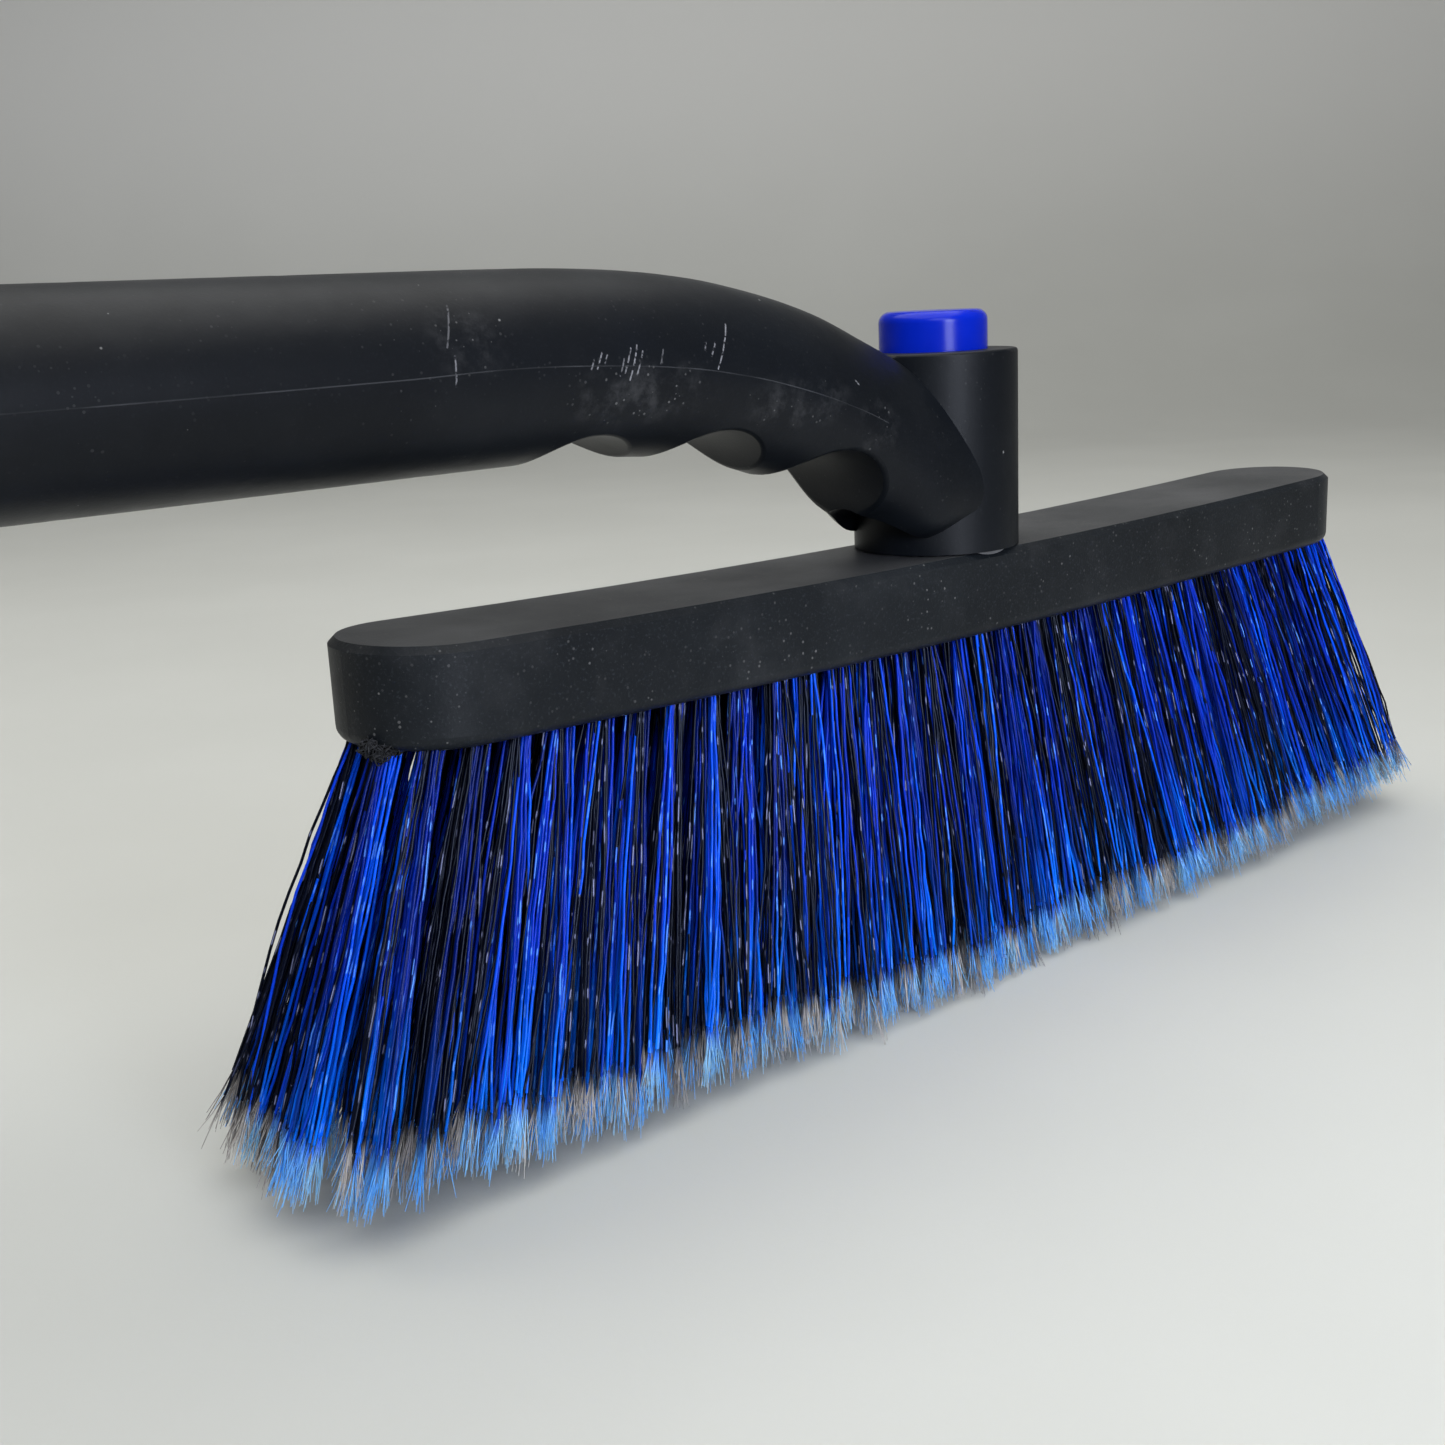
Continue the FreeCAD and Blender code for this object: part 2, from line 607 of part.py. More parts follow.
def grip_sleeve():
    axis_z = above_block(HANDLE_MID)
    sleeve = lengthwise(SLEEVE_RADIUS, SLEEVE_END, SLEEVE_START, axis_z)
    ends = [e for e in sleeve.Edges if e.Closed and e.Curve.TypeId == "Part::GeomCircle"]
    sleeve = sleeve.makeFillet(SLEEVE_END_FILLET, ends)
    return sleeve.cut(lengthwise(SLEEVE_BORE, SLEEVE_END - 1, SLEEVE_START + 1, axis_z))


def end_cap():
    """Cap with a plug inside the pole, a lip over its end, and a flat tab with a hole to hang by."""
    axis_z = above_block(HANDLE_MID)
    lip_end = POLE_END - CAP_LIP
    plug = lengthwise(CAP_PLUG_RADIUS, POLE_END, POLE_END + CAP_PLUG_LENGTH, axis_z)
    lip = lengthwise(CAP_RADIUS, lip_end, POLE_END, axis_z)
    rim = [e for e in lip.Edges if e.Closed and abs(e.CenterOfMass.x - lip_end) < 0.1]
    lip = lip.makeFillet(CAP_LIP_FILLET, rim)
    half = HANG_HOLE_RADIUS + CAP_EYE_WALL
    hole_x = POLE_END - CAP_LENGTH + half
    y = -CAP_TAB_THICKNESS / 2
    eye = Part.makeCylinder(half, CAP_TAB_THICKNESS, Vector(hole_x, y, axis_z), Vector(0, 1, 0))
    web = Part.makeBox(lip_end - hole_x + 2, CAP_TAB_THICKNESS, 2 * half, Vector(hole_x, y, axis_z - half))
    hole = Part.makeCylinder(
        HANG_HOLE_RADIUS, CAP_TAB_THICKNESS + 2, Vector(hole_x, y - 1, axis_z), Vector(0, 1, 0)
    )
    return plug.fuse(lip).fuse(eye).fuse(web).cut(hole).removeSplitter()


# ---------------------------------------------------------------- writing the pieces

ROWS = (-ROW_OUTER_Y, -ROW_INNER_Y, ROW_INNER_Y, ROW_OUTER_Y)
ROW_NAMES = ("front_outer", "front_inner", "back_inner", "back_outer")


def head_reach():
    """How far the outermost tuft tip stands from the swivel axis."""
    root, direction = tuft_axis(max(row_places(ROW_INNER_Y)), ROW_INNER_Y)
    rim = TUFT_TIP_RADIUS * math.sqrt(1 - direction.x**2)
    return root.x + direction.x * (BRISTLE_LENGTH - TUFT_TIP_SETBACK) + rim


CAP_END = POLE_END - CAP_LENGTH
SWIVEL_X = -(CAP_END + head_reach()) / 2


def write(name, shape):
    shape.translate(Vector(SWIVEL_X, 0, 0))
    shape.exportStep("parts/" + name + ".step")


def write_tufts():
    """One node of blue tufts, one of black tufts and one of anchors for each row."""
    for row, (y, row_name) in enumerate(zip(ROWS, ROW_NAMES)):
        tufts = {"blue": [], "black": []}
        anchors = []
        for index, x in enumerate(row_places(y)):
            blue = BLUE_CYCLE[(index + 2 * row) % len(BLUE_CYCLE)]
            tufts["blue" if blue else "black"].append(tuft(x, y))
            anchors.append(tuft_anchor(x, y))
        for colour, shapes in tufts.items():
            write("tufts_" + row_name + "_" + colour, Part.makeCompound(shapes))
        write("anchors_" + row_name, Part.makeCompound(anchors))


def main():
    os.makedirs("parts", exist_ok=True)
    write("bristle_block", bristle_block())
    write_tufts()
    write("swivel_post", swivel_post())
    write("post_screws", post_screws())
    write("thrust_washer", thrust_washer())
    write("retaining_washer", retaining_washer())
    write("retaining_clip", retaining_clip())
    write("release_button", release_button())
    write("button_spring", button_spring())
    write("handle_neck", handle_neck())
    write("pole", pole())
    write("pole_screws", pole_screws())
    write("grip_sleeve", grip_sleeve())
    write("end_cap", end_cap())


main()
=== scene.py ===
"""Looks for the swivel-head snow broom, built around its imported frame.

The bristles, the button's spring and the lint under the block are built here. Every other piece
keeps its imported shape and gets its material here.
"""

import json
import math

import bmesh
import bpy
import numpy as np
from mathutils import Matrix, Vector


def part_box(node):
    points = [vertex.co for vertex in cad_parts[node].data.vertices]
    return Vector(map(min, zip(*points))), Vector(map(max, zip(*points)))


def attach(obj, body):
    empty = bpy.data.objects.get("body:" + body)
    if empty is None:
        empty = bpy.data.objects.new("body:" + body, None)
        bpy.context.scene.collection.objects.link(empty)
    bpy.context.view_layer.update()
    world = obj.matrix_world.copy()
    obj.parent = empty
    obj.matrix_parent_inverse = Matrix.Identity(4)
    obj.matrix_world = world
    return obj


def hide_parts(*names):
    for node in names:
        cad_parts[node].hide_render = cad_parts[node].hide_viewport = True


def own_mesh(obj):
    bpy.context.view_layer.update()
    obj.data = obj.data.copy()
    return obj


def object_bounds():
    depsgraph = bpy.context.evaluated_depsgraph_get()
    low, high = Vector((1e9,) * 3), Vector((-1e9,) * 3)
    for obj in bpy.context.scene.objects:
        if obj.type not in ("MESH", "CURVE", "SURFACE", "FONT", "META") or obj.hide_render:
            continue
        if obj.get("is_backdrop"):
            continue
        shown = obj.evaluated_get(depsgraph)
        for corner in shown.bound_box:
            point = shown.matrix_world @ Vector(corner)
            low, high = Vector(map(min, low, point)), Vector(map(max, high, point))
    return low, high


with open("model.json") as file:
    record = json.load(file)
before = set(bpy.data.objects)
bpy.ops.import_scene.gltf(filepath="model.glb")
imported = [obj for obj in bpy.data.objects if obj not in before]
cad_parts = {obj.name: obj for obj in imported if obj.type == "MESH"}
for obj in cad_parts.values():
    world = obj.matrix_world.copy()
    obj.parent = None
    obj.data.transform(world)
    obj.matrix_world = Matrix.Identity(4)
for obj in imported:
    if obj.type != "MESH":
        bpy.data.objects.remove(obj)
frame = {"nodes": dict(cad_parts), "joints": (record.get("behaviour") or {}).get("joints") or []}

CAD_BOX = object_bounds()
NODES = frame["nodes"]
MM = 0.001

SWIVEL = Vector(next(j["pos_m"] for j in frame["joints"] if j["name"] == "head_swivel"))
BLOCK_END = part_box("bristle_block")[1].x


def from_swivel(x, y, z):
    """Point given in millimetres from the swivel at the block's top face."""
    return SWIVEL + Vector((x, y, z)) * MM


# ---------------------------------------------------------------- material helpers

SPECK_EDGE = 0.02  # how softly a speck ends, as a share of its cell
CORE_SHARE = 0.3  # how much of a mark is at full strength, from its middle to its edge
SCALE_INPUT = 3  # VectorMath's place for the number that its SCALE operation multiplies by
MIX_INPUTS = (6, 7)  # Mix's places for its two colours
MIX_OUTPUT = 2


def opaque(colour):
    """Adds full opacity to a plain colour and passes a node's output through."""
    if isinstance(colour, tuple) and len(colour) == 3:
        return colour + (1.0,)
    return colour


def tinted(colour, gain, lift):
    """A colour made brighter by a factor and lifted evenly."""
    return tuple(gain * v + lift for v in colour)


class Shader:
    """A material under construction, with short names for the few kinds of node used here."""

    def __init__(self, name):
        self.material = bpy.data.materials.new(name)
        self.material.use_nodes = True
        self.tree = self.material.node_tree
        self.principled = self.tree.nodes["Principled BSDF"]
        self.at = self.node("TexCoord").outputs["Object"]  # metres in the row's frame

    def put(self, socket, value):
        """Links an output to the socket or sets the socket's own value."""
        if isinstance(value, bpy.types.NodeSocket):
            self.tree.links.new(value, socket)
        else:
            socket.default_value = value

    def node(self, kind, **inputs):
        """A new node with some of its inputs set."""
        made = self.tree.nodes.new("ShaderNode" + kind)
        for key, value in inputs.items():
            self.put(made.inputs[key.replace("_", " ")], value)
        return made

    def set(self, **inputs):
        """Sets inputs of the surface itself."""
        for key, value in inputs.items():
            self.put(self.principled.inputs[key.replace("_", " ")], value)

    def specular(self, level):
        self.principled.inputs["Specular IOR Level"].default_value = level

    def scaled(self, vector, x, y, z):
        return self.node("Mapping", Vector=vector, Scale=(x, y, z)).outputs["Vector"]

    def split(self, vector):
        """The X, Y and Z outputs of a vector."""
        return self.node("SeparateXYZ", Vector=vector).outputs

    def noise(self, vector, scale, detail=2.0, roughness=0.5):
        made = self.node("TexNoise", Vector=vector, Scale=scale, Detail=detail, Roughness=roughness)
        return made.outputs["Fac"]

    def maths(self, operation, a, b=0.0, c=0.0):
        made = self.node("Math")
        made.operation = operation
        for socket, value in zip(made.inputs, (a, b, c)):
            self.put(socket, value)
        return made.outputs[0]

    def vector(self, operation, a, b=(0.0, 0.0, 0.0), scale=1.0, out="Vector"):
        made = self.node("VectorMath")
        made.operation = operation
        self.put(made.inputs[0], a)
        self.put(made.inputs[1], b)
        self.put(made.inputs[SCALE_INPUT], scale)
        return made.outputs[out]

    def ramp(self, value, low, high, out_low=0.0, out_high=1.0):
        """A smooth step from one result to another as the value goes from low to high."""
        made = self.node("MapRange")
        made.interpolation_type = "SMOOTHSTEP"
        ends = {"Value": value, "From Min": low, "From Max": high, "To Min": out_low, "To Max": out_high}
        for key, number in ends.items():
            self.put(made.inputs[key], number)
        return made.outputs["Result"]

    def product(self, *factors):
        result = factors[0]
        for factor in factors[1:]:
            result = self.maths("MULTIPLY", result, factor)
        return result

    def mix(self, factor, a, b):
        """Colour a where the factor is 0 and colour b where it is 1."""
        made = self.node("Mix")
        made.data_type = "RGBA"
        self.put(made.inputs["Factor"], factor)
        for place, colour in zip(MIX_INPUTS, (a, b)):
            self.put(made.inputs[place], opaque(colour))
        return made.outputs[MIX_OUTPUT]

    def bump(self, height, distance, strength=1.0):
        return self.node("Bump", Height=height, Distance=distance, Strength=strength).outputs["Normal"]

    def specks(self, scale, size, share):
        """1 inside small round grains, 0 elsewhere. Share is how many cells hold a grain."""
        cells = self.node("TexVoronoi", Vector=self.at, Scale=scale)
        parts = self.node("SeparateColor", Color=cells.outputs["Color"])
        present = self.maths("LESS_THAN", parts.outputs["Red"], share)
        reach = self.maths("MULTIPLY", parts.outputs["Green"], size)
        depth = self.maths("SUBTRACT", reach, cells.outputs["Distance"])
        return self.maths("MULTIPLY", present, self.ramp(depth, 0.0, SPECK_EDGE))

    def fade(self, distance, edge):
        """1 close to the middle of a mark and 0 beyond its edge."""
        return self.ramp(distance, CORE_SHARE * edge, edge, 1.0, 0.0)

    def window(self, centre, reach):
        """1 at the centre of an ellipsoid and 0 outside it."""
        offset = self.vector("SUBTRACT", self.at, centre)
        length = self.vector("LENGTH", self.vector("DIVIDE", offset, reach), out="Value")
        return self.fade(length, 1.0)

    def stroke(self, start, end, width):
        """1 on a short straight scratch between two points."""
        along = end - start
        offset = self.vector("SUBTRACT", self.at, start)
        share = self.vector("DOT_PRODUCT", offset, along, out="Value")
        share = self.maths("DIVIDE", share, along.length_squared)
        share = self.maths("MINIMUM", self.maths("MAXIMUM", share, 0.0), 1.0)
        nearest = self.vector("SCALE", along, scale=share)
        apart = self.vector("SUBTRACT", offset, nearest)
        flat = self.vector("MULTIPLY", apart, (1.0, 0.0, 1.0))  # the scratch runs over the surface
        return self.fade(self.vector("LENGTH", flat, out="Value"), width)

    def on_near_side(self, y):
        """1 on the near side of a plane at this Y."""
        return self.maths("LESS_THAN", self.split(self.at)["Y"], y)


# ---------------------------------------------------------------- moulded plastics

SEAM = (  # the neck's parting line, as x, z in millimetres from the swivel
    (-276.0, 42.7),
    (-134.5, 42.7),
    (-113.0, 43.1),
    (-98.0, 42.6),
    (-81.0, 41.3),
    (-67.0, 39.2),
    (-53.0, 36.0),
    (-38.5, 31.4),
    (-30.0, 28.0),
)
SEAM_FROM, SEAM_TO = SEAM[0][0], SEAM[-1][0]
SEAM_LOW = 25.0  # the curve's own 0 and 1 are this height and this height plus the span
SEAM_SPAN = 25.0
SEAM_WIDTH = 0.14 * MM
SEAM_HEIGHT = 1.5  # against the height of the grain
SEAM_STRENGTH = 0.22
SCRATCH_WIDTH = 0.22 * MM
SCRATCH_STRENGTH = 0.75
SCRATCHED_SIDE = SWIVEL.y - 8.0 * MM  # the scratches lie on the near side of this plane

# the dust film's colour, which also paints a highlight on upward faces
FILM_AND_TOP_SHEEN_COLOUR = (0.12, 0.12, 0.125)
GRAIN_COLOUR = (0.17, 0.17, 0.17)
SPECK_COLOUR = (0.24, 0.24, 0.235)
SCRATCH_COLOUR = (0.27, 0.27, 0.29)
SEAM_COLOUR = (0.16, 0.165, 0.18)


def seam_mask(s):
    """1 along the parting line that runs down both sides of the neck."""
    at = s.split(s.at)
    x = s.maths("DIVIDE", s.maths("SUBTRACT", at["X"], SWIVEL.x), MM)
    share = s.maths("DIVIDE", s.maths("SUBTRACT", x, SEAM_FROM), SEAM_TO - SEAM_FROM)
    curve = s.node("FloatCurve", Value=share)
    points = curve.mapping.curves[0].points
    places = [((a - SEAM_FROM) / (SEAM_TO - SEAM_FROM), (b - SEAM_LOW) / SEAM_SPAN) for a, b in SEAM]
    points[0].location, points[-1].location = places[0], places[-1]
    for place in places[1:-1]:
        points.new(*place)
    curve.mapping.update()
    height = s.maths("MULTIPLY_ADD", curve.outputs["Value"], SEAM_SPAN * MM, SWIVEL.z + SEAM_LOW * MM)
    apart = s.maths("ABSOLUTE", s.maths("SUBTRACT", at["Z"], height))
    inside = s.product(s.maths("GREATER_THAN", share, 0.0), s.maths("LESS_THAN", share, 1.0))
    return s.product(s.fade(apart, SEAM_WIDTH), inside)


def strokes_mask(s, strokes):
    """All of the scratches given as pairs of x, z points in millimetres from the swivel."""
    total = 0.0
    for (x0, z0), (x1, z1), strength in strokes:
        stroke = s.stroke(from_swivel(x0, 0, z0), from_swivel(x1, 0, z1), SCRATCH_WIDTH)
        total = s.maths("MAXIMUM", total, s.maths("MULTIPLY", stroke, strength))
    worn = s.ramp(s.noise(s.at, scale=1300.0, detail=3.0), 0.40, 0.58)
    return s.product(total, worn, s.on_near_side(SCRATCHED_SIDE))


def patches_mask(s, patches):
    """The dustier patches, each a centre, its reach in X, Y and Z and a strength."""
    nearby = 0.0
    for centre, reach, strength in patches:
        nearby = s.maths("MAXIMUM", nearby, s.maths("MULTIPLY", s.window(centre, reach), strength))
    return nearby


def dust_film_and_top_sheen(s, clouds, dust_and_sheen, nearby):
    """Thin dust: a cloudy film all over and smudges in the patches; on upward faces, settled dust together
    with a painted highlight that lightens the tops.
    """
    film = s.ramp(s.noise(s.at, scale=60.0, detail=5.0, roughness=0.65), 0.45, 0.8, 0.0, 0.10 * dust_and_sheen)
    upward = s.split(s.node("NewGeometry").outputs["Normal"])["Z"]
    # settled dust on upward faces, together with a painted highlight that lightens them
    settled_dust_and_top_sheen = s.product(s.ramp(upward, 0.75, 1.0), s.ramp(clouds, 0.3, 0.7, 0.22, 0.42))
    film = s.maths("ADD", film, s.maths("MULTIPLY", settled_dust_and_top_sheen, dust_and_sheen))
    blotches = s.noise(s.at, scale=210.0, detail=5.0, roughness=0.7)
    smudge = s.product(nearby, s.ramp(blotches, 0.42, 0.75, 0.0, 0.30))
    return s.maths("MAXIMUM", film, smudge)


def dust_grains(s, colour, dust_and_sheen, nearby):
    """Fine grains where the dust lies thick, and a few larger specks anywhere."""
    thick = s.ramp(s.noise(s.at, scale=70.0, detail=3.0), 0.45, 0.70, 0.25 * dust_and_sheen, dust_and_sheen)
    grains = s.product(s.specks(scale=1000.0, size=0.26, share=0.5), s.maths("MAXIMUM", thick, nearby))
    colour = s.mix(s.maths("MULTIPLY", grains, 0.60), colour, GRAIN_COLOUR)
    rare = s.specks(scale=300.0, size=0.10, share=0.35)
    return s.mix(s.maths("MULTIPLY", rare, 0.5), colour, SPECK_COLOUR)


# the dust amount also sets how much the painted highlight lightens upward faces
def moulded_plastic(name, base, rough, grain, dust_and_sheen, patches=(), strokes=(), seam=False):
    """Matte moulded plastic: spark-eroded grain, cloudy handling marks, dust and scratches, and tops
    lightened by painted highlight.
    """
    s = Shader(name)
    clouds = s.noise(s.at, scale=24.0, detail=4.0, roughness=0.6)
    fine = s.noise(s.at, scale=1700.0, detail=3.0, roughness=0.7)
    colour = s.mix(s.ramp(clouds, 0.35, 0.75), base, tinted(base, gain=1.5, lift=0.002))
    colour = s.mix(s.ramp(fine, 0.54, 0.72, 0.0, 0.8 * dust_and_sheen), colour, tinted(base, gain=2.5, lift=0.012))
    nearby = patches_mask(s, patches)
    # dust film, and the painted highlight on upward faces
    colour = s.mix(dust_film_and_top_sheen(s, clouds, dust_and_sheen, nearby), colour, FILM_AND_TOP_SHEEN_COLOUR)
    colour = dust_grains(s, colour, dust_and_sheen, nearby)
    height = fine
    if strokes:
        scratched = strokes_mask(s, strokes)
        colour = s.mix(s.maths("MULTIPLY", scratched, SCRATCH_STRENGTH), colour, SCRATCH_COLOUR)
        height = s.maths("SUBTRACT", height, scratched)
    if seam:
        line = seam_mask(s)
        kept = s.ramp(s.noise(s.at, scale=85.0), 0.35, 0.6, 0.25, 1.0)
        colour = s.mix(s.product(line, kept, SEAM_STRENGTH), colour, SEAM_COLOUR)
        height = s.maths("ADD", height, s.maths("MULTIPLY", line, SEAM_HEIGHT))
    s.set(
        Base_Color=colour,
        Roughness=s.ramp(clouds, 0.3, 0.8, rough + 0.05, rough - 0.05),
        Normal=s.bump(height, distance=grain, strength=0.8),
    )
    s.specular(0.17)
    return s.material


def glossy_button():
    """Smooth blue plastic with faint finger rub on its top."""
    s = Shader("button_blue")
    clouds = s.noise(s.at, scale=60.0, detail=3.0)
    colour = s.mix(s.ramp(clouds, 0.3, 0.8), (0.0001, 0.012, 0.35), (0.0002, 0.015, 0.43))
    rub = s.noise(s.scaled(s.at, 1.0, 1.0, 0.3), scale=700.0, detail=3.0)
    colour = s.mix(s.ramp(rub, 0.62, 0.8, 0.0, 0.06), colour, (0.05, 0.12, 0.6))
    s.set(
        Base_Color=colour,
        Roughness=s.ramp(clouds, 0.3, 0.8, 0.20, 0.27),
        Normal=s.bump(s.noise(s.at, scale=170.0), distance=0.05 * MM, strength=0.5),
    )
    s.specular(0.18)
    return s.material


# ---------------------------------------------------------------- other materials


def brushed_tube():
    """Drawn aluminium, with its fine lines along the tube."""
    s = Shader("pole_aluminium")
    drawn = s.noise(s.scaled(s.at, 0.03, 1.0, 1.0), scale=1800.0, detail=3.0)
    clouds = s.noise(s.at, scale=30.0, detail=4.0)
    s.set(
        Base_Color=s.mix(s.ramp(clouds, 0.3, 0.8), (0.42, 0.43, 0.44), (0.55, 0.56, 0.57)),
        Metallic=1.0,
        Roughness=s.ramp(drawn, 0.3, 0.7, 0.28, 0.42),
        Normal=s.bump(drawn, distance=0.03 * MM, strength=0.5),
    )
    return s.material


def foam():
    """Black foam rubber with open cells, with painted shade in their hollows."""
    s = Shader("grip_foam")
    cells = s.node("TexVoronoi", Vector=s.at, Scale=900.0).outputs["Distance"]
    clouds = s.noise(s.at, scale=40.0, detail=4.0)
    colour = s.mix(s.ramp(clouds, 0.3, 0.8), (0.016, 0.016, 0.017), (0.032, 0.032, 0.034))
    # painted shade: darker towards the middle of each open cell
    colour = s.mix(s.ramp(cells, 0.1, 0.6, 0.5, 0.0), colour, (0.006, 0.006, 0.007))
    s.set(Base_Color=colour, Roughness=0.88, Normal=s.bump(cells, distance=0.35 * MM, strength=0.9))
    return s.material


def metal(name, dull, bright, rough):
    """Bare or plated metal with a slightly uneven polish."""
    s = Shader(name)
    clouds = s.noise(s.at, scale=400.0, detail=3.0)
    s.set(
        Base_Color=s.mix(s.ramp(clouds, 0.3, 0.7), dull, bright),
        Metallic=1.0,
        Roughness=s.ramp(clouds, 0.3, 0.7, rough, rough + 0.15),
        Normal=s.bump(s.noise(s.at, scale=2500.0), distance=0.02 * MM, strength=0.5),
    )
    return s.material


def turned_plastic(name, dark, light):
    """Plain turned or stamped plastic."""
    s = Shader(name)
    clouds = s.noise(s.at, scale=120.0, detail=3.0)
    s.set(
        Base_Color=s.mix(s.ramp(clouds, 0.3, 0.7), dark, light),
        Roughness=s.ramp(clouds, 0.3, 0.7, 0.38, 0.5),
        Normal=s.bump(s.noise(s.at, scale=1800.0), distance=0.03 * MM, strength=0.5),
    )
    return s.material


def lint_fibre():
    """Black fluff, a little paler in places."""
    s = Shader("lint")
    clouds = s.noise(s.at, scale=900.0, detail=3.0)
    colour = s.mix(s.ramp(clouds, 0.3, 0.7), (0.006, 0.0065, 0.008), (0.028, 0.029, 0.033))
    s.set(Base_Color=colour, Roughness=0.8)
    s.specular(0.3)
    return s.material


def floor_material():
    """Pale paint on the floor, turned whiter up the backdrop by painted light."""
    s = Shader("floor_pale")
    clouds = s.noise(s.at, scale=6.0, detail=4.0)
    plain = s.mix(s.ramp(clouds, 0.3, 0.8), (0.50, 0.505, 0.48), (0.53, 0.535, 0.51))
    s.set(
        # painted light: whiter from the foot of the backdrop upwards
        Base_Color=s.mix(s.ramp(s.split(s.at)["Z"], 0.02, 0.5), plain, (0.82, 0.82, 0.81)),
        Roughness=0.6,
        Normal=s.bump(s.noise(s.at, scale=900.0), distance=0.05 * MM, strength=0.3),
    )
    s.specular(0.3)
    return s.material


# ---------------------------------------------------------------- bristle material

BRISTLES_UV = "OFBake"  # the UV layer that the filament's shader reads
TONES = 256  # the first half holds the blues from dark to bright, the other half the blacks
STRIP_MARGIN = 0.15  # of a tone's strip, left free on both sides
FLAG_SHARE = 0.86  # how far along its length a strand splits
FLAG_BLEND = 0.08

BLUE_DARK = (0.0002, 0.006, 0.09)
BLUE_MIDDLE = (0.0005, 0.030, 0.55)
BLUE_BRIGHT = (0.001, 0.11, 1.0)
BLUE_BAND = (0.0004, 0.014, 0.26)
BLUE_AZURE = (0.001, 0.20, 1.0)
# painted highlight colour of the glints on the blue strands
BLUE_PAINTED_GLINT = (0.12, 0.36, 1.0)
BLUE_FLAGS = ((0.10, 0.42, 1.0), (0.38, 0.72, 1.0))
# black strands, tinted navy by painted bounce light from the blue strands
BLACKS_WITH_PAINTED_BOUNCE = ((0.0005, 0.0009, 0.0045), (0.0026, 0.0038, 0.0120))
# painted highlight colour of the glints on the black strands
BLACK_PAINTED_GLINT = (0.25, 0.27, 0.46)
BLACK_FLAGS = ((0.22, 0.205, 0.20), (0.58, 0.54, 0.51))
# how strongly the painted highlights show
PAINTED_GLINT_STRENGTH = 0.9
STRAND_SHEEN = (0.70, 0.80, 1.0, 1.0)
BAND_STEP = 7.3  # keeps the bands of neighbouring tones apart


class Strand:
    """What the filament's shader reads from the UV: the tone, and the place along the strand."""

    def __init__(self, s):
        self.s = s
        uv = s.node("UVMap")
        uv.uv_map = BRISTLES_UV
        parts = s.split(uv.outputs["UV"])
        self.along = parts["Y"]
        strip = s.maths("MULTIPLY", parts["X"], float(TONES))
        self.tone = s.maths("FLOOR", strip)
        self.off_ridge = s.maths("ABSOLUTE", s.maths("SUBTRACT", s.maths("FRACT", strip), 0.5))
        self.black = s.maths("GREATER_THAN", self.tone, TONES / 2 - 0.5)
        self.level = s.maths("FRACT", s.maths("DIVIDE", s.maths("ADD", self.tone, 0.5), TONES / 2))
        chance = s.node("TexWhiteNoise", Vector=s.node("CombineXYZ", X=self.tone).outputs[0])
        self.chance = s.node("SeparateColor", Color=chance.outputs["Color"]).outputs["Green"]
        self.flagged = s.ramp(self.along, FLAG_SHARE, FLAG_SHARE + FLAG_BLEND)

    def band(self, waves, seed):
        """Noise that runs along the strand, about so many waves to its length."""
        s = self.s
        across = s.maths("MULTIPLY", self.tone, BAND_STEP)
        place = s.node("CombineXYZ", X=across, Y=s.maths("MULTIPLY", self.along, waves))
        return s.noise(s.vector("ADD", place.outputs[0], (seed, seed, 0.0)), scale=1.0, detail=1.0)

    def painted_glints(self):
        """Painted highlights: short bright dashes on the ridge of some of the strands."""
        s = self.s
        ridge = s.ramp(self.off_ridge, 0.10, 0.22, 1.0, 0.0)
        dashes = s.ramp(self.band(waves=17.0, seed=31.0), 0.57, 0.63)
        return s.maths("MULTIPLY", s.product(dashes, s.ramp(self.chance, 0.3, 0.7), ridge), PAINTED_GLINT_STRENGTH)


def blue_strand(s, strand, painted_glints):
    """Blue from dark to bright, more azure towards the tip, with painted highlights, and pale where it
    splits.
    """
    colour = s.mix(s.ramp(strand.level, 0.1, 0.7), BLUE_DARK, BLUE_MIDDLE)
    colour = s.mix(s.ramp(strand.level, 0.7, 1.0), colour, BLUE_BRIGHT)
    colour = s.mix(s.ramp(strand.band(waves=5.0, seed=0.0), 0.35, 0.7, 0.0, 0.6), colour, BLUE_BAND)
    azure = s.product(s.ramp(strand.along, 0.5, 0.85), s.ramp(strand.chance, 0.2, 1.0, 0.1, 0.8))
    colour = s.mix(azure, colour, BLUE_AZURE)
    # painted highlights on the blue strands
    colour = s.mix(painted_glints, colour, BLUE_PAINTED_GLINT)
    return s.mix(strand.flagged, colour, s.mix(strand.level, *BLUE_FLAGS))


def black_strand(s, strand, painted_glints):
    """Black with a painted bluish tint for light bounced from the blue strands, painted highlights, and grey
    where it splits.
    """
    # painted highlights on the black strands
    colour = s.mix(painted_glints, s.mix(strand.level, *BLACKS_WITH_PAINTED_BOUNCE), BLACK_PAINTED_GLINT)
    return s.mix(strand.flagged, colour, s.mix(strand.level, *BLACK_FLAGS))


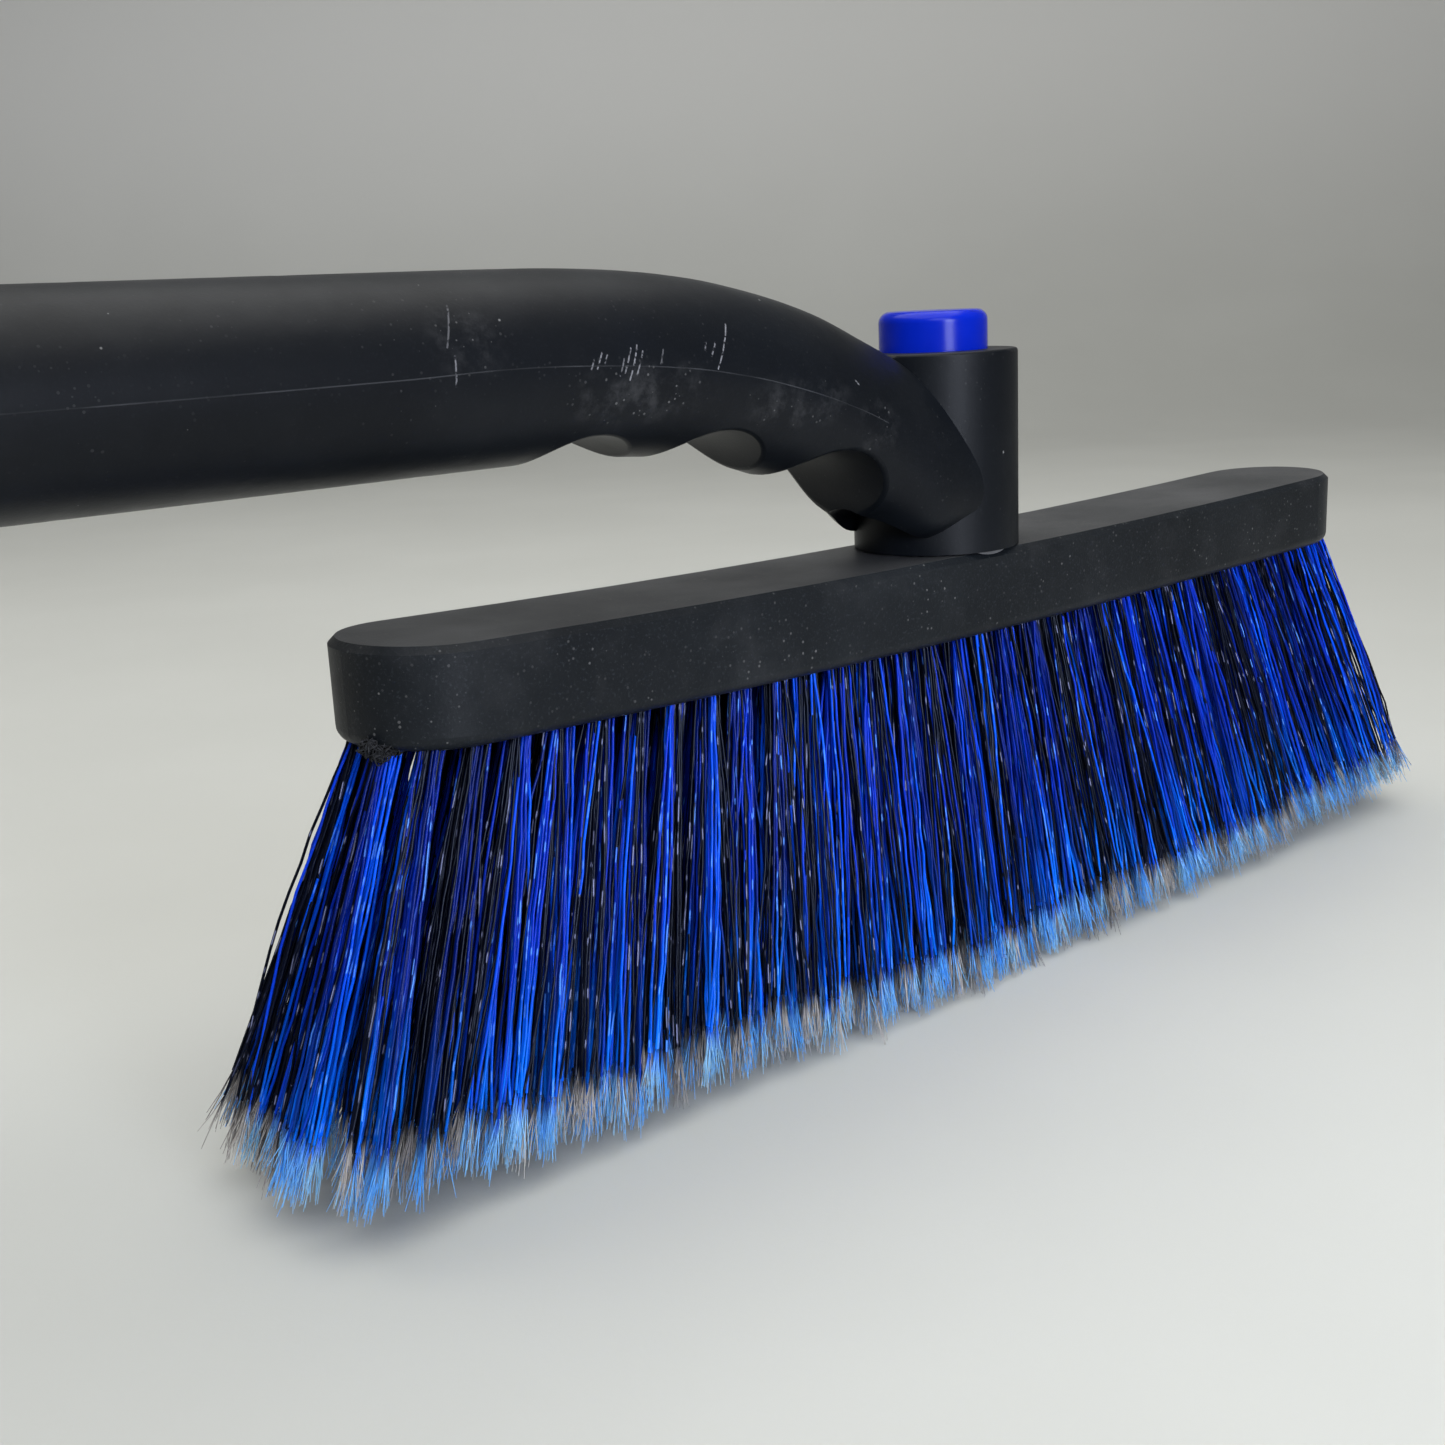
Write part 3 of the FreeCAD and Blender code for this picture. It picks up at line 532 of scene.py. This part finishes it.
def filament():
    """Crimped plastic filament. Its UV holds a strip for each tone across, and the place along."""
    s = Shader("filament")
    strand = Strand(s)
    # painted highlights, drawn into both colours of strand
    painted_glints = strand.painted_glints()
    s.set(
        Base_Color=s.mix(strand.black, blue_strand(s, strand, painted_glints), black_strand(s, strand, painted_glints)),
        Roughness=s.ramp(strand.flagged, 0.0, 1.0, 0.28, 0.6),
        Specular_Tint=STRAND_SHEEN,
        Normal=s.bump(strand.band(waves=34.0, seed=57.0), distance=0.2 * MM, strength=0.6),
    )
    s.specular(0.22)
    return s.material


# ---------------------------------------------------------------- bristle shapes

BRISTLE_ROWS = ("front_outer", "front_inner", "back_inner", "back_outer")
BRISTLE_SEED = 100
SEEDS_PER_ROW = 10
CLUMPS_PER_TUFT = 8
STRANDS_PER_CLUMP = 7
STRANDS_PER_TUFT = CLUMPS_PER_TUFT * STRANDS_PER_CLUMP
STRAND_RADIUS = 0.29 * MM
STRAND_SIDES = 4
STRAND_RINGS = 16  # along a whole strand; its stem keeps those before the split
STEM_RINGS = int(round(FLAG_SHARE * (STRAND_RINGS - 1))) + 1
OWN_COLOUR_SHARE = {"blue": 0.80, "black": 0.66}  # clumps of the tuft's own colour
ODD_SHARE = 0.17  # strands of the other colour in a clump
TONE_SPREAD = 0.22  # how much the strands of a clump differ
TOP_LEVEL = 0.999  # keeps the brightest strands inside their own half of the tones

GOLDEN_ANGLE = math.radians(137.5)
HOLE_TO_START = 8.4 * MM  # from a packed tuft's top to where its strands are drawn from
ROOT_REACH = 2.1 * MM
ROOT_SCATTER = 0.4 * MM
REACH_ALONG = 5.4 * MM  # how far a tuft's tips spread along the block
REACH_OUT = 3.6 * MM  # away from the middle of the block
REACH_IN = 7.5 * MM  # towards the middle of the block
END_OF_ROW_TRIM = 0.6  # how much less the last tuft spreads outwards along the block
END_OF_ROW_POWER = 6  # only the last few tufts of a row feel its end
CLUMP_SCATTER = 0.9 * MM
TIP_SCATTER = 0.75 * MM
STRAY_SHARE = 0.06  # strands that cross their neighbours
STRAY_SCATTER = 6.0 * MM
STRAY_POWER = 4
SHORTFALL = 0.8 * MM  # how much shorter than its tuft a strand is on average
STRAND_LENGTH_SCATTER = 0.8 * MM
TUFT_LENGTH_SCATTER = 0.7 * MM
CLUMP_LENGTH_SCATTER = 0.9 * MM
END_OF_ROW_LONGER = 1.2 * MM
FLARE_POWER = 1.2  # above 1 a strand bends away slowly at first
BOW = 0.9 * MM
KINK = 0.11 * MM
FLOOR_GAP = 0.15 * MM

HAIRS_PER_STRAND = 5
HAIR_SIDES = 3
HAIR_RADIUS = 0.10 * MM
HAIR_TAPER = np.array([1.0, 0.9, 0.5])  # of the radius, at each of its rings
HAIR_PLACES = np.array([0.0, 0.5, 1.0])  # of those rings, along the hair
HAIR_LENGTH = (6.0 * MM, 11.0 * MM)
HAIR_SCATTER = 0.75 * MM
HAIR_FLARE_POWER = 1.3

WELD_DISTANCE = 1e-6
END_FACE_DEPTH = 0.3 * MM
LINE_ROUNDS = 3
CROSSWISE = np.array([0.0, 1.0, 0.0])


def islands(node):
    """Vertex arrays of a node's separate solids, in order along the block."""
    mesh = bmesh.new()
    mesh.from_mesh(NODES[node].data)
    bmesh.ops.remove_doubles(mesh, verts=mesh.verts, dist=WELD_DISTANCE)
    left = set(mesh.verts)
    found = []
    while left:
        stack = [left.pop()]
        group = []
        while stack:
            vert = stack.pop()
            group.append(vert.co[:])
            for edge in vert.link_edges:
                other = edge.other_vert(vert)
                if other in left:
                    left.remove(other)
                    stack.append(other)
        found.append(np.array(group))
    mesh.free()
    return sorted(found, key=lambda points: points[:, 0].mean())


def unit(vectors):
    """The same directions at length 1."""
    return vectors / np.linalg.norm(vectors, axis=-1, keepdims=True)


def tuft_line(points):
    """Both ends of a packed tuft's middle line, its top and then its tip."""
    middle = points.mean(0)
    along = np.linalg.svd(points - middle, full_matrices=False)[2][0]
    along = along if along[2] < 0 else -along
    for _ in range(LINE_ROUNDS):  # settle the line on the centres of both end faces
        reach = (points - middle) @ along
        top = points[reach < reach.min() + END_FACE_DEPTH].mean(0)
        tip = points[reach > reach.max() - END_FACE_DEPTH].mean(0)
        middle, along = top, unit(tip - top)
    return top, tip


def end_of_row_share(start):
    """0 at the swivel and 1 at the ends of the block."""
    return abs(start[0] - SWIVEL.x) / (BLOCK_END - SWIVEL.x)


def tip_reaches(start):
    """How far the tips spread: towards -X and +X, and towards -Y and +Y."""
    reach_x = [REACH_ALONG, REACH_ALONG]
    outwards = 1 if start[0] > SWIVEL.x else 0
    reach_x[outwards] *= 1.0 - END_OF_ROW_TRIM * end_of_row_share(start) ** END_OF_ROW_POWER
    reach_y = (REACH_OUT, REACH_IN) if start[1] < 0 else (REACH_IN, REACH_OUT)
    return reach_x, reach_y


def strand_ends(rng, start, clump):
    """Where the strands of a tuft start and end, as offsets from its middle line."""
    count = len(clump)
    reach_x, reach_y = tip_reaches(start)
    angle = clump * GOLDEN_ANGLE + rng.uniform(0, 2 * math.pi)
    share = np.sqrt((clump + 0.5) / CLUMPS_PER_TUFT)
    circle = np.c_[np.cos(angle), np.sin(angle)] * share[:, None]
    root = ROOT_REACH * circle + rng.normal(0, ROOT_SCATTER, (count, 2))
    shift = rng.normal(0, CLUMP_SCATTER, (CLUMPS_PER_TUFT, 2))[clump]
    end_x = circle[:, 0] * np.where(circle[:, 0] > 0, reach_x[1], reach_x[0])
    end_y = circle[:, 1] * np.where(circle[:, 1] > 0, reach_y[1], reach_y[0])
    strays = STRAY_SHARE * (1 - end_of_row_share(start) ** STRAY_POWER)
    stray = rng.uniform(0, 1, count) < strays
    end_x = end_x + stray * rng.normal(0, STRAY_SCATTER, count)
    return root, np.c_[end_x, end_y] + shift + rng.normal(0, TIP_SCATTER, (count, 2))


def strand_lengths(rng, start, tip, clump):
    """Lengths that differ by tuft, by clump and by strand, and grow at the ends of a row."""
    length = np.linalg.norm(tip - start) + rng.normal(-SHORTFALL, STRAND_LENGTH_SCATTER, len(clump))
    length = length + rng.normal(0, TUFT_LENGTH_SCATTER)
    length = length + rng.normal(0, CLUMP_LENGTH_SCATTER, CLUMPS_PER_TUFT)[clump]
    return length + END_OF_ROW_LONGER * end_of_row_share(start) ** END_OF_ROW_POWER


def strand_paths(rng, top, tip):
    """Middle lines of one tuft's strands, as an array of strands x rings x 3."""
    along = unit(tip - top)
    side = unit(np.cross(CROSSWISE, -along))
    back = np.cross(along, side)
    back *= math.copysign(1.0, back[1])
    start = top + along * HOLE_TO_START
    clump = np.repeat(np.arange(CLUMPS_PER_TUFT), STRANDS_PER_CLUMP)
    root, end = strand_ends(rng, start, clump)
    length = strand_lengths(rng, start, tip, clump)
    s = np.linspace(0, 1, STRAND_RINGS)
    offset = root[:, None, :] + (end - root)[:, None, :] * (s**FLARE_POWER)[None, :, None]
    bow = rng.normal(0, BOW, (STRANDS_PER_TUFT, 1, 2))
    offset += bow * np.sin(math.pi * s)[None, :, None]
    kink = rng.normal(0, KINK, (STRANDS_PER_TUFT, STRAND_RINGS, 2))
    kink[:, 0] = 0
    offset += kink
    straight = start + along * length[:, None, None] * s[None, :, None]
    return straight + offset[:, :, :1] * side + offset[:, :, 1:] * back


def hair_paths(rng, ends, along):
    """The fine hairs that each strand's end splits into."""
    ends = np.repeat(ends, HAIRS_PER_STRAND, axis=0)
    along = np.repeat(along, HAIRS_PER_STRAND, axis=0)
    length = rng.uniform(*HAIR_LENGTH, len(ends))
    spread = rng.normal(0, HAIR_SCATTER, (len(ends), 3))
    spread -= along * np.sum(spread * along, axis=1, keepdims=True)
    points = ends[:, None, :] + along[:, None, :] * (length[:, None] * HAIR_PLACES)[:, :, None]
    return points + spread[:, None, :] * (HAIR_PLACES**HAIR_FLARE_POWER)[None, :, None]


def strand_tones(rng, colour):
    """A tone for each strand: mostly the tuft's own colour, close to its clump's brightness."""
    own = rng.uniform(0, 1, CLUMPS_PER_TUFT) < OWN_COLOUR_SHARE[colour]
    own = np.repeat(own, STRANDS_PER_CLUMP) ^ (rng.uniform(0, 1, STRANDS_PER_TUFT) < ODD_SHARE)
    blue = own if colour == "blue" else ~own
    level = np.repeat(rng.uniform(0, 1, CLUMPS_PER_TUFT), STRANDS_PER_CLUMP)
    level = np.clip(level + rng.normal(0, TONE_SPREAD, STRANDS_PER_TUFT), 0, TOP_LEVEL)
    return (TONES // 2 * level).astype(int) + np.where(blue, 0, TONES // 2)


def tubes(paths, radii, sides):
    """Vertices and quads of a round tube along each path, with one radius per ring."""
    count, rings, _ = paths.shape
    tangent = unit(np.gradient(paths, axis=1))
    across = unit(np.cross(tangent, CROSSWISE))
    other = np.cross(tangent, across)
    turn = 2 * math.pi * np.arange(sides) / sides
    circle = across[:, :, None, :] * np.cos(turn)[:, None] + other[:, :, None, :] * np.sin(turn)[:, None]
    verts = paths[:, :, None, :] + circle * radii[None, :, None, None]
    first = (np.arange(count) * rings * sides)[:, None, None]
    ring = (np.arange(rings - 1) * sides)[None, :, None]
    step = np.arange(sides)[None, None, :]
    here, following = first + ring + step, first + ring + (step + 1) % sides
    quads = np.stack([here, following, following + sides, here + sides], axis=-1)
    return verts.reshape(-1, 3), quads.reshape(-1, 4)


def strip_uvs(tones, rings, sides, low, high):
    """UV corners of the tubes' quads: a narrow strip for each tone, low to high along it."""
    level = np.linspace(low, high, rings)
    left = (tones + STRIP_MARGIN) / TONES
    right = (tones + 1.0 - STRIP_MARGIN) / TONES
    shape = (len(tones), rings - 1, sides)
    u = np.stack([left, right, right, left], axis=-1)[:, None, None, :]
    v = np.stack([level[:-1], level[:-1], level[1:], level[1:]], axis=-1)[None, :, None, :]
    return np.stack(np.broadcast_arrays(u + np.zeros(shape + (4,)), v), axis=-1).reshape(-1, 2)


def new_piece(name, verts, faces, material, body):
    """A mesh object that rides on a body."""
    mesh = bpy.data.meshes.new(name)
    mesh.from_pydata(verts, [], faces)
    mesh.polygons.foreach_set("use_smooth", np.ones(len(mesh.polygons), bool))
    mesh.materials.append(material)
    mesh.update()
    piece = bpy.data.objects.new(name, mesh)
    bpy.context.scene.collection.objects.link(piece)
    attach(piece, body)
    return piece


def tuft_shapes(rng, points, colour):
    """One tuft's stems and then its hairs, each as vertices, quads and UVs."""
    paths = strand_paths(rng, *tuft_line(points))
    tones = strand_tones(rng, colour)
    stems = paths[:, :STEM_RINGS]
    hairs = hair_paths(rng, stems[:, -1], unit(stems[:, -1] - stems[:, -3]))
    stem_radii = np.full(STEM_RINGS, STRAND_RADIUS)
    for centres, radii, sides, low, high, each in (
        (stems, stem_radii, STRAND_SIDES, 0.0, FLAG_SHARE, 1),
        (hairs, HAIR_TAPER * HAIR_RADIUS, HAIR_SIDES, FLAG_SHARE, 1.0, HAIRS_PER_STRAND),
    ):
        centres[..., 2] = np.maximum(centres[..., 2], FLOOR_GAP)
        verts, quads = tubes(centres, radii, sides)
        yield verts, quads, strip_uvs(np.repeat(tones, each), len(radii), sides, low, high)


def bristle_piece(row, colour, material, seed):
    """All the strands of one row's tufts of one colour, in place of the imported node."""
    rng = np.random.default_rng(seed)
    node = "tufts_" + row + "_" + colour
    verts, quads, uvs, base = [], [], [], 0
    for points in islands(node):
        for shape_verts, shape_quads, shape_uvs in tuft_shapes(rng, points, colour):
            verts.append(shape_verts)
            quads.append(shape_quads + base)
            uvs.append(shape_uvs)
            base += len(shape_verts)
    name = "bristles_" + row + "_" + colour
    piece = new_piece(name, np.concatenate(verts), np.concatenate(quads), material, "head")
    layer = piece.data.uv_layers.new(name=BRISTLES_UV)
    layer.data.foreach_set("uv", np.concatenate(uvs).ravel())
    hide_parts(node)


def build_bristles():
    """The eight pieces of bristles, four rows in two colours."""
    material = filament()
    for index, row in enumerate(BRISTLE_ROWS):
        for shift, colour in enumerate(("blue", "black")):
            bristle_piece(row, colour, material, BRISTLE_SEED + SEEDS_PER_ROW * index + shift)


# ---------------------------------------------------------------- spring and lint

SPRING_WIRE = 0.4 * MM  # radius of the wire
SPRING_TURNS = 8
SPRING_POINTS_PER_TURN = 24
SPRING_SIDES = 8


def build_spring(material):
    """The button's spring, a coil that rides on the button."""
    low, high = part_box("button_spring")
    radius = (high.x - low.x) / 2 - SPRING_WIRE
    turns = np.linspace(0, SPRING_TURNS * 2 * math.pi, SPRING_TURNS * SPRING_POINTS_PER_TURN)
    rise = np.linspace(low.z + SPRING_WIRE, high.z - SPRING_WIRE, len(turns))
    path = np.c_[SWIVEL.x + radius * np.cos(turns), SWIVEL.y + radius * np.sin(turns), rise]
    verts, quads = tubes(path[None], np.full(len(turns), SPRING_WIRE), SPRING_SIDES)
    ends = [list(range(SPRING_SIDES))[::-1], [len(verts) - SPRING_SIDES + k for k in range(SPRING_SIDES)]]
    piece = new_piece("button_spring_coil", verts, quads.tolist() + ends, material, "button")
    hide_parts("button_spring")
    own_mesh(piece)


LINT_SEED = 7
LINT_PLACE = (-138.2, -6.4, -13.8)  # millimetres from the swivel, as are the lobes from here
LINT_LOBES = ((-1.7, 0.6, 0.3), (1.7, -0.6, -0.1), (-0.2, 0.0, -1.0))
LINT_LOBE_REACH = 1.9
LINT_REACH_SHARE = (0.35, 1.0)  # how far out in its lobe a fibre may run
LINT_FIBRES = 30
LINT_TURN = (1.2, 2.6)  # how much of a loop a fibre makes, in half turns
LINT_WOBBLE = 0.16
LINT_WOBBLES = 3
LINT_LATEST_PHASE = 6.0  # radians
LINT_CLIMB = 0.6  # about how far a loop climbs each way along its axis, in millimetres
LINT_FLATTEN = np.array([1.0, 0.9, 0.85])
LINT_POINTS = 40
LINT_RADIUS = 0.13 * MM
LINT_SIDES = 4


def lint_loop(rng):
    """One fibre's path about the middle of its lobe, in millimetres."""
    axis = unit(rng.normal(0, 1, 3))
    first = unit(np.cross(axis, rng.normal(0, 1, 3)))
    second = np.cross(axis, first)
    turn = np.linspace(0, rng.uniform(*LINT_TURN) * math.pi, LINT_POINTS)
    wobble = 1 + LINT_WOBBLE * np.sin(LINT_WOBBLES * turn + rng.uniform(0, LINT_LATEST_PHASE))
    reach = LINT_LOBE_REACH * rng.uniform(*LINT_REACH_SHARE) * wobble
    loop = reach[:, None] * (np.cos(turn)[:, None] * first + np.sin(turn)[:, None] * second)
    loop += np.outer(np.linspace(-LINT_CLIMB, LINT_CLIMB, LINT_POINTS) * rng.normal(0, 1), axis)
    return loop * LINT_FLATTEN


def build_lint(material):
    """A knot of black lint that hangs under the near end of the block, wound in three lobes."""
    rng = np.random.default_rng(LINT_SEED)
    paths = []
    for lobe in LINT_LOBES:
        for _ in range(LINT_FIBRES):
            paths.append((lint_loop(rng) + np.array(lobe)) * MM + np.array(from_swivel(*LINT_PLACE)))
    verts, quads = tubes(np.array(paths), np.full(LINT_POINTS, LINT_RADIUS), LINT_SIDES)
    new_piece("lint_tangle", verts, quads, material, "head")


# ---------------------------------------------------------------- camera, floor and light

CAMERA_PLACE = (-268.6, -239.3, 53.0)  # millimetres from the swivel
CAMERA_BEARING = math.radians(40.9)  # from +Y towards +X
CAMERA_PITCH = math.radians(14.02)
CAMERA_ROLL = math.radians(2.69)
CAMERA_LENS = 42.8  # millimetres, as is its sensor
CAMERA_SENSOR = 36.0
CAMERA_NEAREST = 0.01  # metres


def build_camera():
    """The camera stands in front of the near end and looks down at the broom with a slight roll."""
    data = bpy.data.cameras.new("camera")
    data.lens = CAMERA_LENS
    data.sensor_width = CAMERA_SENSOR
    data.clip_start = CAMERA_NEAREST
    camera = bpy.data.objects.new("camera", data)
    bpy.context.scene.collection.objects.link(camera)
    flat = Vector((math.sin(CAMERA_BEARING), math.cos(CAMERA_BEARING), 0.0))
    ahead = flat * math.cos(CAMERA_PITCH) - Vector((0, 0, 1)) * math.sin(CAMERA_PITCH)
    level = Vector((flat.y, -flat.x, 0.0))
    right = level * math.cos(CAMERA_ROLL) + ahead.cross(level) * math.sin(CAMERA_ROLL)
    down = ahead.cross(right)
    turn = Matrix((right, -down, -ahead)).transposed()
    camera.matrix_world = Matrix.Translation(from_swivel(*CAMERA_PLACE)) @ turn.to_4x4()
    bpy.context.scene.camera = camera


FLOOR_HALF_WIDTH = 12.0  # metres, as are the next four
FLOOR_FRONT = -12.0
FLOOR_BACK = 1.3
BEND_RADIUS = 0.6
BACKDROP_TOP = 2.4
BEND_STEPS = 12


def build_floor():
    """Flat floor that sweeps up into a backdrop far behind the broom."""
    profile = [(FLOOR_FRONT, 0.0), (FLOOR_BACK, 0.0)]
    for step in range(1, BEND_STEPS + 1):
        angle = math.pi / 2 * step / BEND_STEPS
        profile.append((FLOOR_BACK + BEND_RADIUS * math.sin(angle), BEND_RADIUS * (1 - math.cos(angle))))
    profile.append((FLOOR_BACK + BEND_RADIUS, BACKDROP_TOP))
    sides = (-FLOOR_HALF_WIDTH, FLOOR_HALF_WIDTH)
    verts = [(side, along, height) for along, height in profile for side in sides]
    faces = [(2 * k, 2 * k + 1, 2 * k + 3, 2 * k + 2) for k in range(len(profile) - 1)]
    data = bpy.data.meshes.new("floor")
    data.from_pydata(verts, [], faces)
    data.polygons.foreach_set("use_smooth", np.ones(len(faces), bool))
    data.materials.append(floor_material())
    floor = bpy.data.objects.new("floor", data)
    floor.matrix_world = Matrix.Rotation(-CAMERA_BEARING, 4, "Z")
    bpy.context.scene.collection.objects.link(floor)
    floor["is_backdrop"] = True


WORLD_STRENGTH = 0.22
SKY_BELOW = (0.30, 0.31, 0.33, 1.0)
SKY_ABOVE = (1.0, 1.0, 0.98, 1.0)
SKY_BRIGHT_FROM = 0.6  # height in the sky where it reaches its full brightness


def build_world():
    """Dim light from all sides, brighter from above."""
    world = bpy.data.worlds.new("studio")
    bpy.context.scene.world = world
    world.use_nodes = True
    tree = world.node_tree
    sky = tree.nodes["Background"]
    sky.inputs["Strength"].default_value = WORLD_STRENGTH
    place = tree.nodes.new("ShaderNodeTexCoord")
    parts = tree.nodes.new("ShaderNodeSeparateXYZ")
    tree.links.new(place.outputs["Generated"], parts.inputs[0])
    fade = tree.nodes.new("ShaderNodeValToRGB")
    below, above = fade.color_ramp.elements
    below.position, above.position = 0.0, SKY_BRIGHT_FROM
    below.color, above.color = SKY_BELOW, SKY_ABOVE
    tree.links.new(parts.outputs["Z"], fade.inputs[0])
    tree.links.new(fade.outputs[0], sky.inputs["Color"])


def area_light(name, place, size, power, colour, spread=math.pi):
    """Soft panel at a place in metres from the swivel, facing it."""
    data = bpy.data.lights.new(name, "AREA")
    data.shape = "RECTANGLE"
    data.size, data.size_y = size
    data.energy = power
    data.spread = spread
    data.color = colour
    lamp = bpy.data.objects.new(name, data)
    lamp.location = SWIVEL + Vector(place)
    lamp.rotation_euler = (-Vector(place)).to_track_quat("-Z", "Y").to_euler()
    lamp.visible_camera = False
    bpy.context.scene.collection.objects.link(lamp)


def build_light():
    """A wide soft panel overhead, a small cool one low in front, and a cool one to fill."""
    build_world()
    area_light("overhead", place=(-0.10, 0.05, 1.05), size=(1.6, 1.6), power=20.0, colour=(1.0, 0.995, 0.96))
    area_light(
        "window",
        place=(-0.15, -0.62, 0.12),
        size=(0.2, 0.3),
        power=0.42,
        colour=(0.80, 0.86, 1.0),
        spread=math.radians(60.0),
    )
    area_light(
        "fill",
        place=(-0.50, -0.80, 0.60),
        size=(0.8, 0.45),
        power=1.3,
        colour=(0.84, 0.90, 1.0),
        spread=math.radians(95.0),  # keeps it off the floor beneath it
    )
    bpy.context.scene.view_settings.view_transform = "Standard"


# ---------------------------------------------------------------- the broom

NEAR_SIDE = -14.0  # how far the neck's near side stands from its middle, in millimetres
PATCH_DEPTH = 14.0
NECK_PATCHES = (  # dustier patches: x, z, their reach in X and Z in millimetres, and a strength
    (-89.0, 37.5, 19.0, 7.0, 0.9),
    (-53.0, 33.5, 17.0, 6.5, 0.7),
    (-33.0, 27.5, 8.0, 7.0, 0.6),
    (-122.0, 48.0, 9.0, 8.0, 0.6),
)
BOSS_PATCH = (from_swivel(12.0, -12.0, 22.0), (5.0 * MM, 9.0 * MM, 26.0 * MM), 0.8)
NECK_STROKES = (  # scratches from x, z to x, z in millimetres from the swivel, and a strength
    ((-97.0, 44.6), (-98.2, 42.2), 0.9),
    ((-98.6, 43.8), (-99.4, 42.2), 0.7),
    ((-96.0, 44.2), (-96.6, 43.0), 0.7),
    ((-91.0, 45.0), (-92.6, 41.2), 0.9),
    ((-89.6, 45.4), (-91.6, 40.0), 1.0),
    ((-88.6, 44.4), (-90.2, 40.6), 0.9),
    ((-92.6, 43.4), (-93.6, 40.8), 0.6),
    ((-84.2, 44.4), (-85.0, 42.2), 0.4),
    ((-68.2, 48.2), (-72.4, 40.6), 0.9),
    ((-72.2, 45.0), (-73.6, 42.8), 0.8),
    ((-74.4, 45.0), (-75.0, 43.8), 0.6),
    ((-122.9, 53.0), (-125.6, 47.0), 0.4),
    ((-124.6, 45.6), (-124.9, 41.2), 0.75),
    ((-38.0, 36.4), (-37.2, 35.6), 0.7),
)


def dusty_patches():
    """Dustier patches on the near side of the neck and down the boss."""
    patches = []
    for x, z, reach_x, reach_z, strength in NECK_PATCHES:
        reach = (reach_x * MM, PATCH_DEPTH * MM, reach_z * MM)
        patches.append((from_swivel(x, NEAR_SIDE, z), reach, strength))
    return patches + [BOSS_PATCH]


def neck_plastic():
    return moulded_plastic(
        "neck_black",
        base=(0.0019, 0.0029, 0.0047),
        rough=0.43,
        grain=0.03 * MM,
        dust_and_sheen=0.2,
        patches=dusty_patches(),
        strokes=NECK_STROKES,
        seam=True,
    )


def block_plastic():
    return moulded_plastic(
        "block_black", base=(0.0046, 0.0061, 0.0080), rough=0.44, grain=0.06 * MM, dust_and_sheen=0.9
    )


def cap_plastic():
    return moulded_plastic("cap_black", base=(0.006, 0.006, 0.0065), rough=0.45, grain=0.03 * MM, dust_and_sheen=0.2)


def black_washer_plastic():
    return turned_plastic("thrust_washer_black", dark=(0.010, 0.010, 0.011), light=(0.018, 0.018, 0.02))


def white_washer_plastic():
    return turned_plastic("washer_nylon", dark=(0.7, 0.69, 0.65), light=(0.78, 0.77, 0.73))


def post_plastic():
    return turned_plastic("post_acetal", dark=(0.1, 0.1, 0.105), light=(0.13, 0.13, 0.14))


def dress(node, material):
    """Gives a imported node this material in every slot."""
    ob = NODES[node]
    if not ob.material_slots:
        ob.data.materials.append(material)
    for slot in ob.material_slots:
        slot.material = material


def dress_packed_nodes():
    """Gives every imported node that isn't replaced its material."""
    steel = metal("screw_steel", dull=(0.45, 0.45, 0.46), bright=(0.6, 0.6, 0.6), rough=0.28)
    wire = metal("anchor_wire", dull=(0.4, 0.4, 0.39), bright=(0.55, 0.55, 0.53), rough=0.4)
    choices = {
        "handle_neck": neck_plastic(),
        "bristle_block": block_plastic(),
        "end_cap": cap_plastic(),
        "release_button": glossy_button(),
        "pole": brushed_tube(),
        "grip_sleeve": foam(),
        "pole_screws": steel,
        "post_screws": steel,
        "retaining_clip": steel,
        "thrust_washer": black_washer_plastic(),
        "retaining_washer": white_washer_plastic(),
        "swivel_post": post_plastic(),
    }
    for row in BRISTLE_ROWS:
        choices["anchors_" + row] = wire
    for node, material in choices.items():
        dress(node, material)


def main():
    """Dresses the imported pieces, builds the rest, and sets the stage."""
    dress_packed_nodes()
    build_bristles()
    build_spring(metal("spring_wire", dull=(0.5, 0.5, 0.5), bright=(0.62, 0.62, 0.61), rough=0.22))
    build_lint(lint_fibre())
    build_floor()
    build_light()
    build_camera()


main()
sizes = {"cad": CAD_BOX, "visual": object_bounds()}
{name: [list(corner) for corner in box] for name, box in sizes.items()}
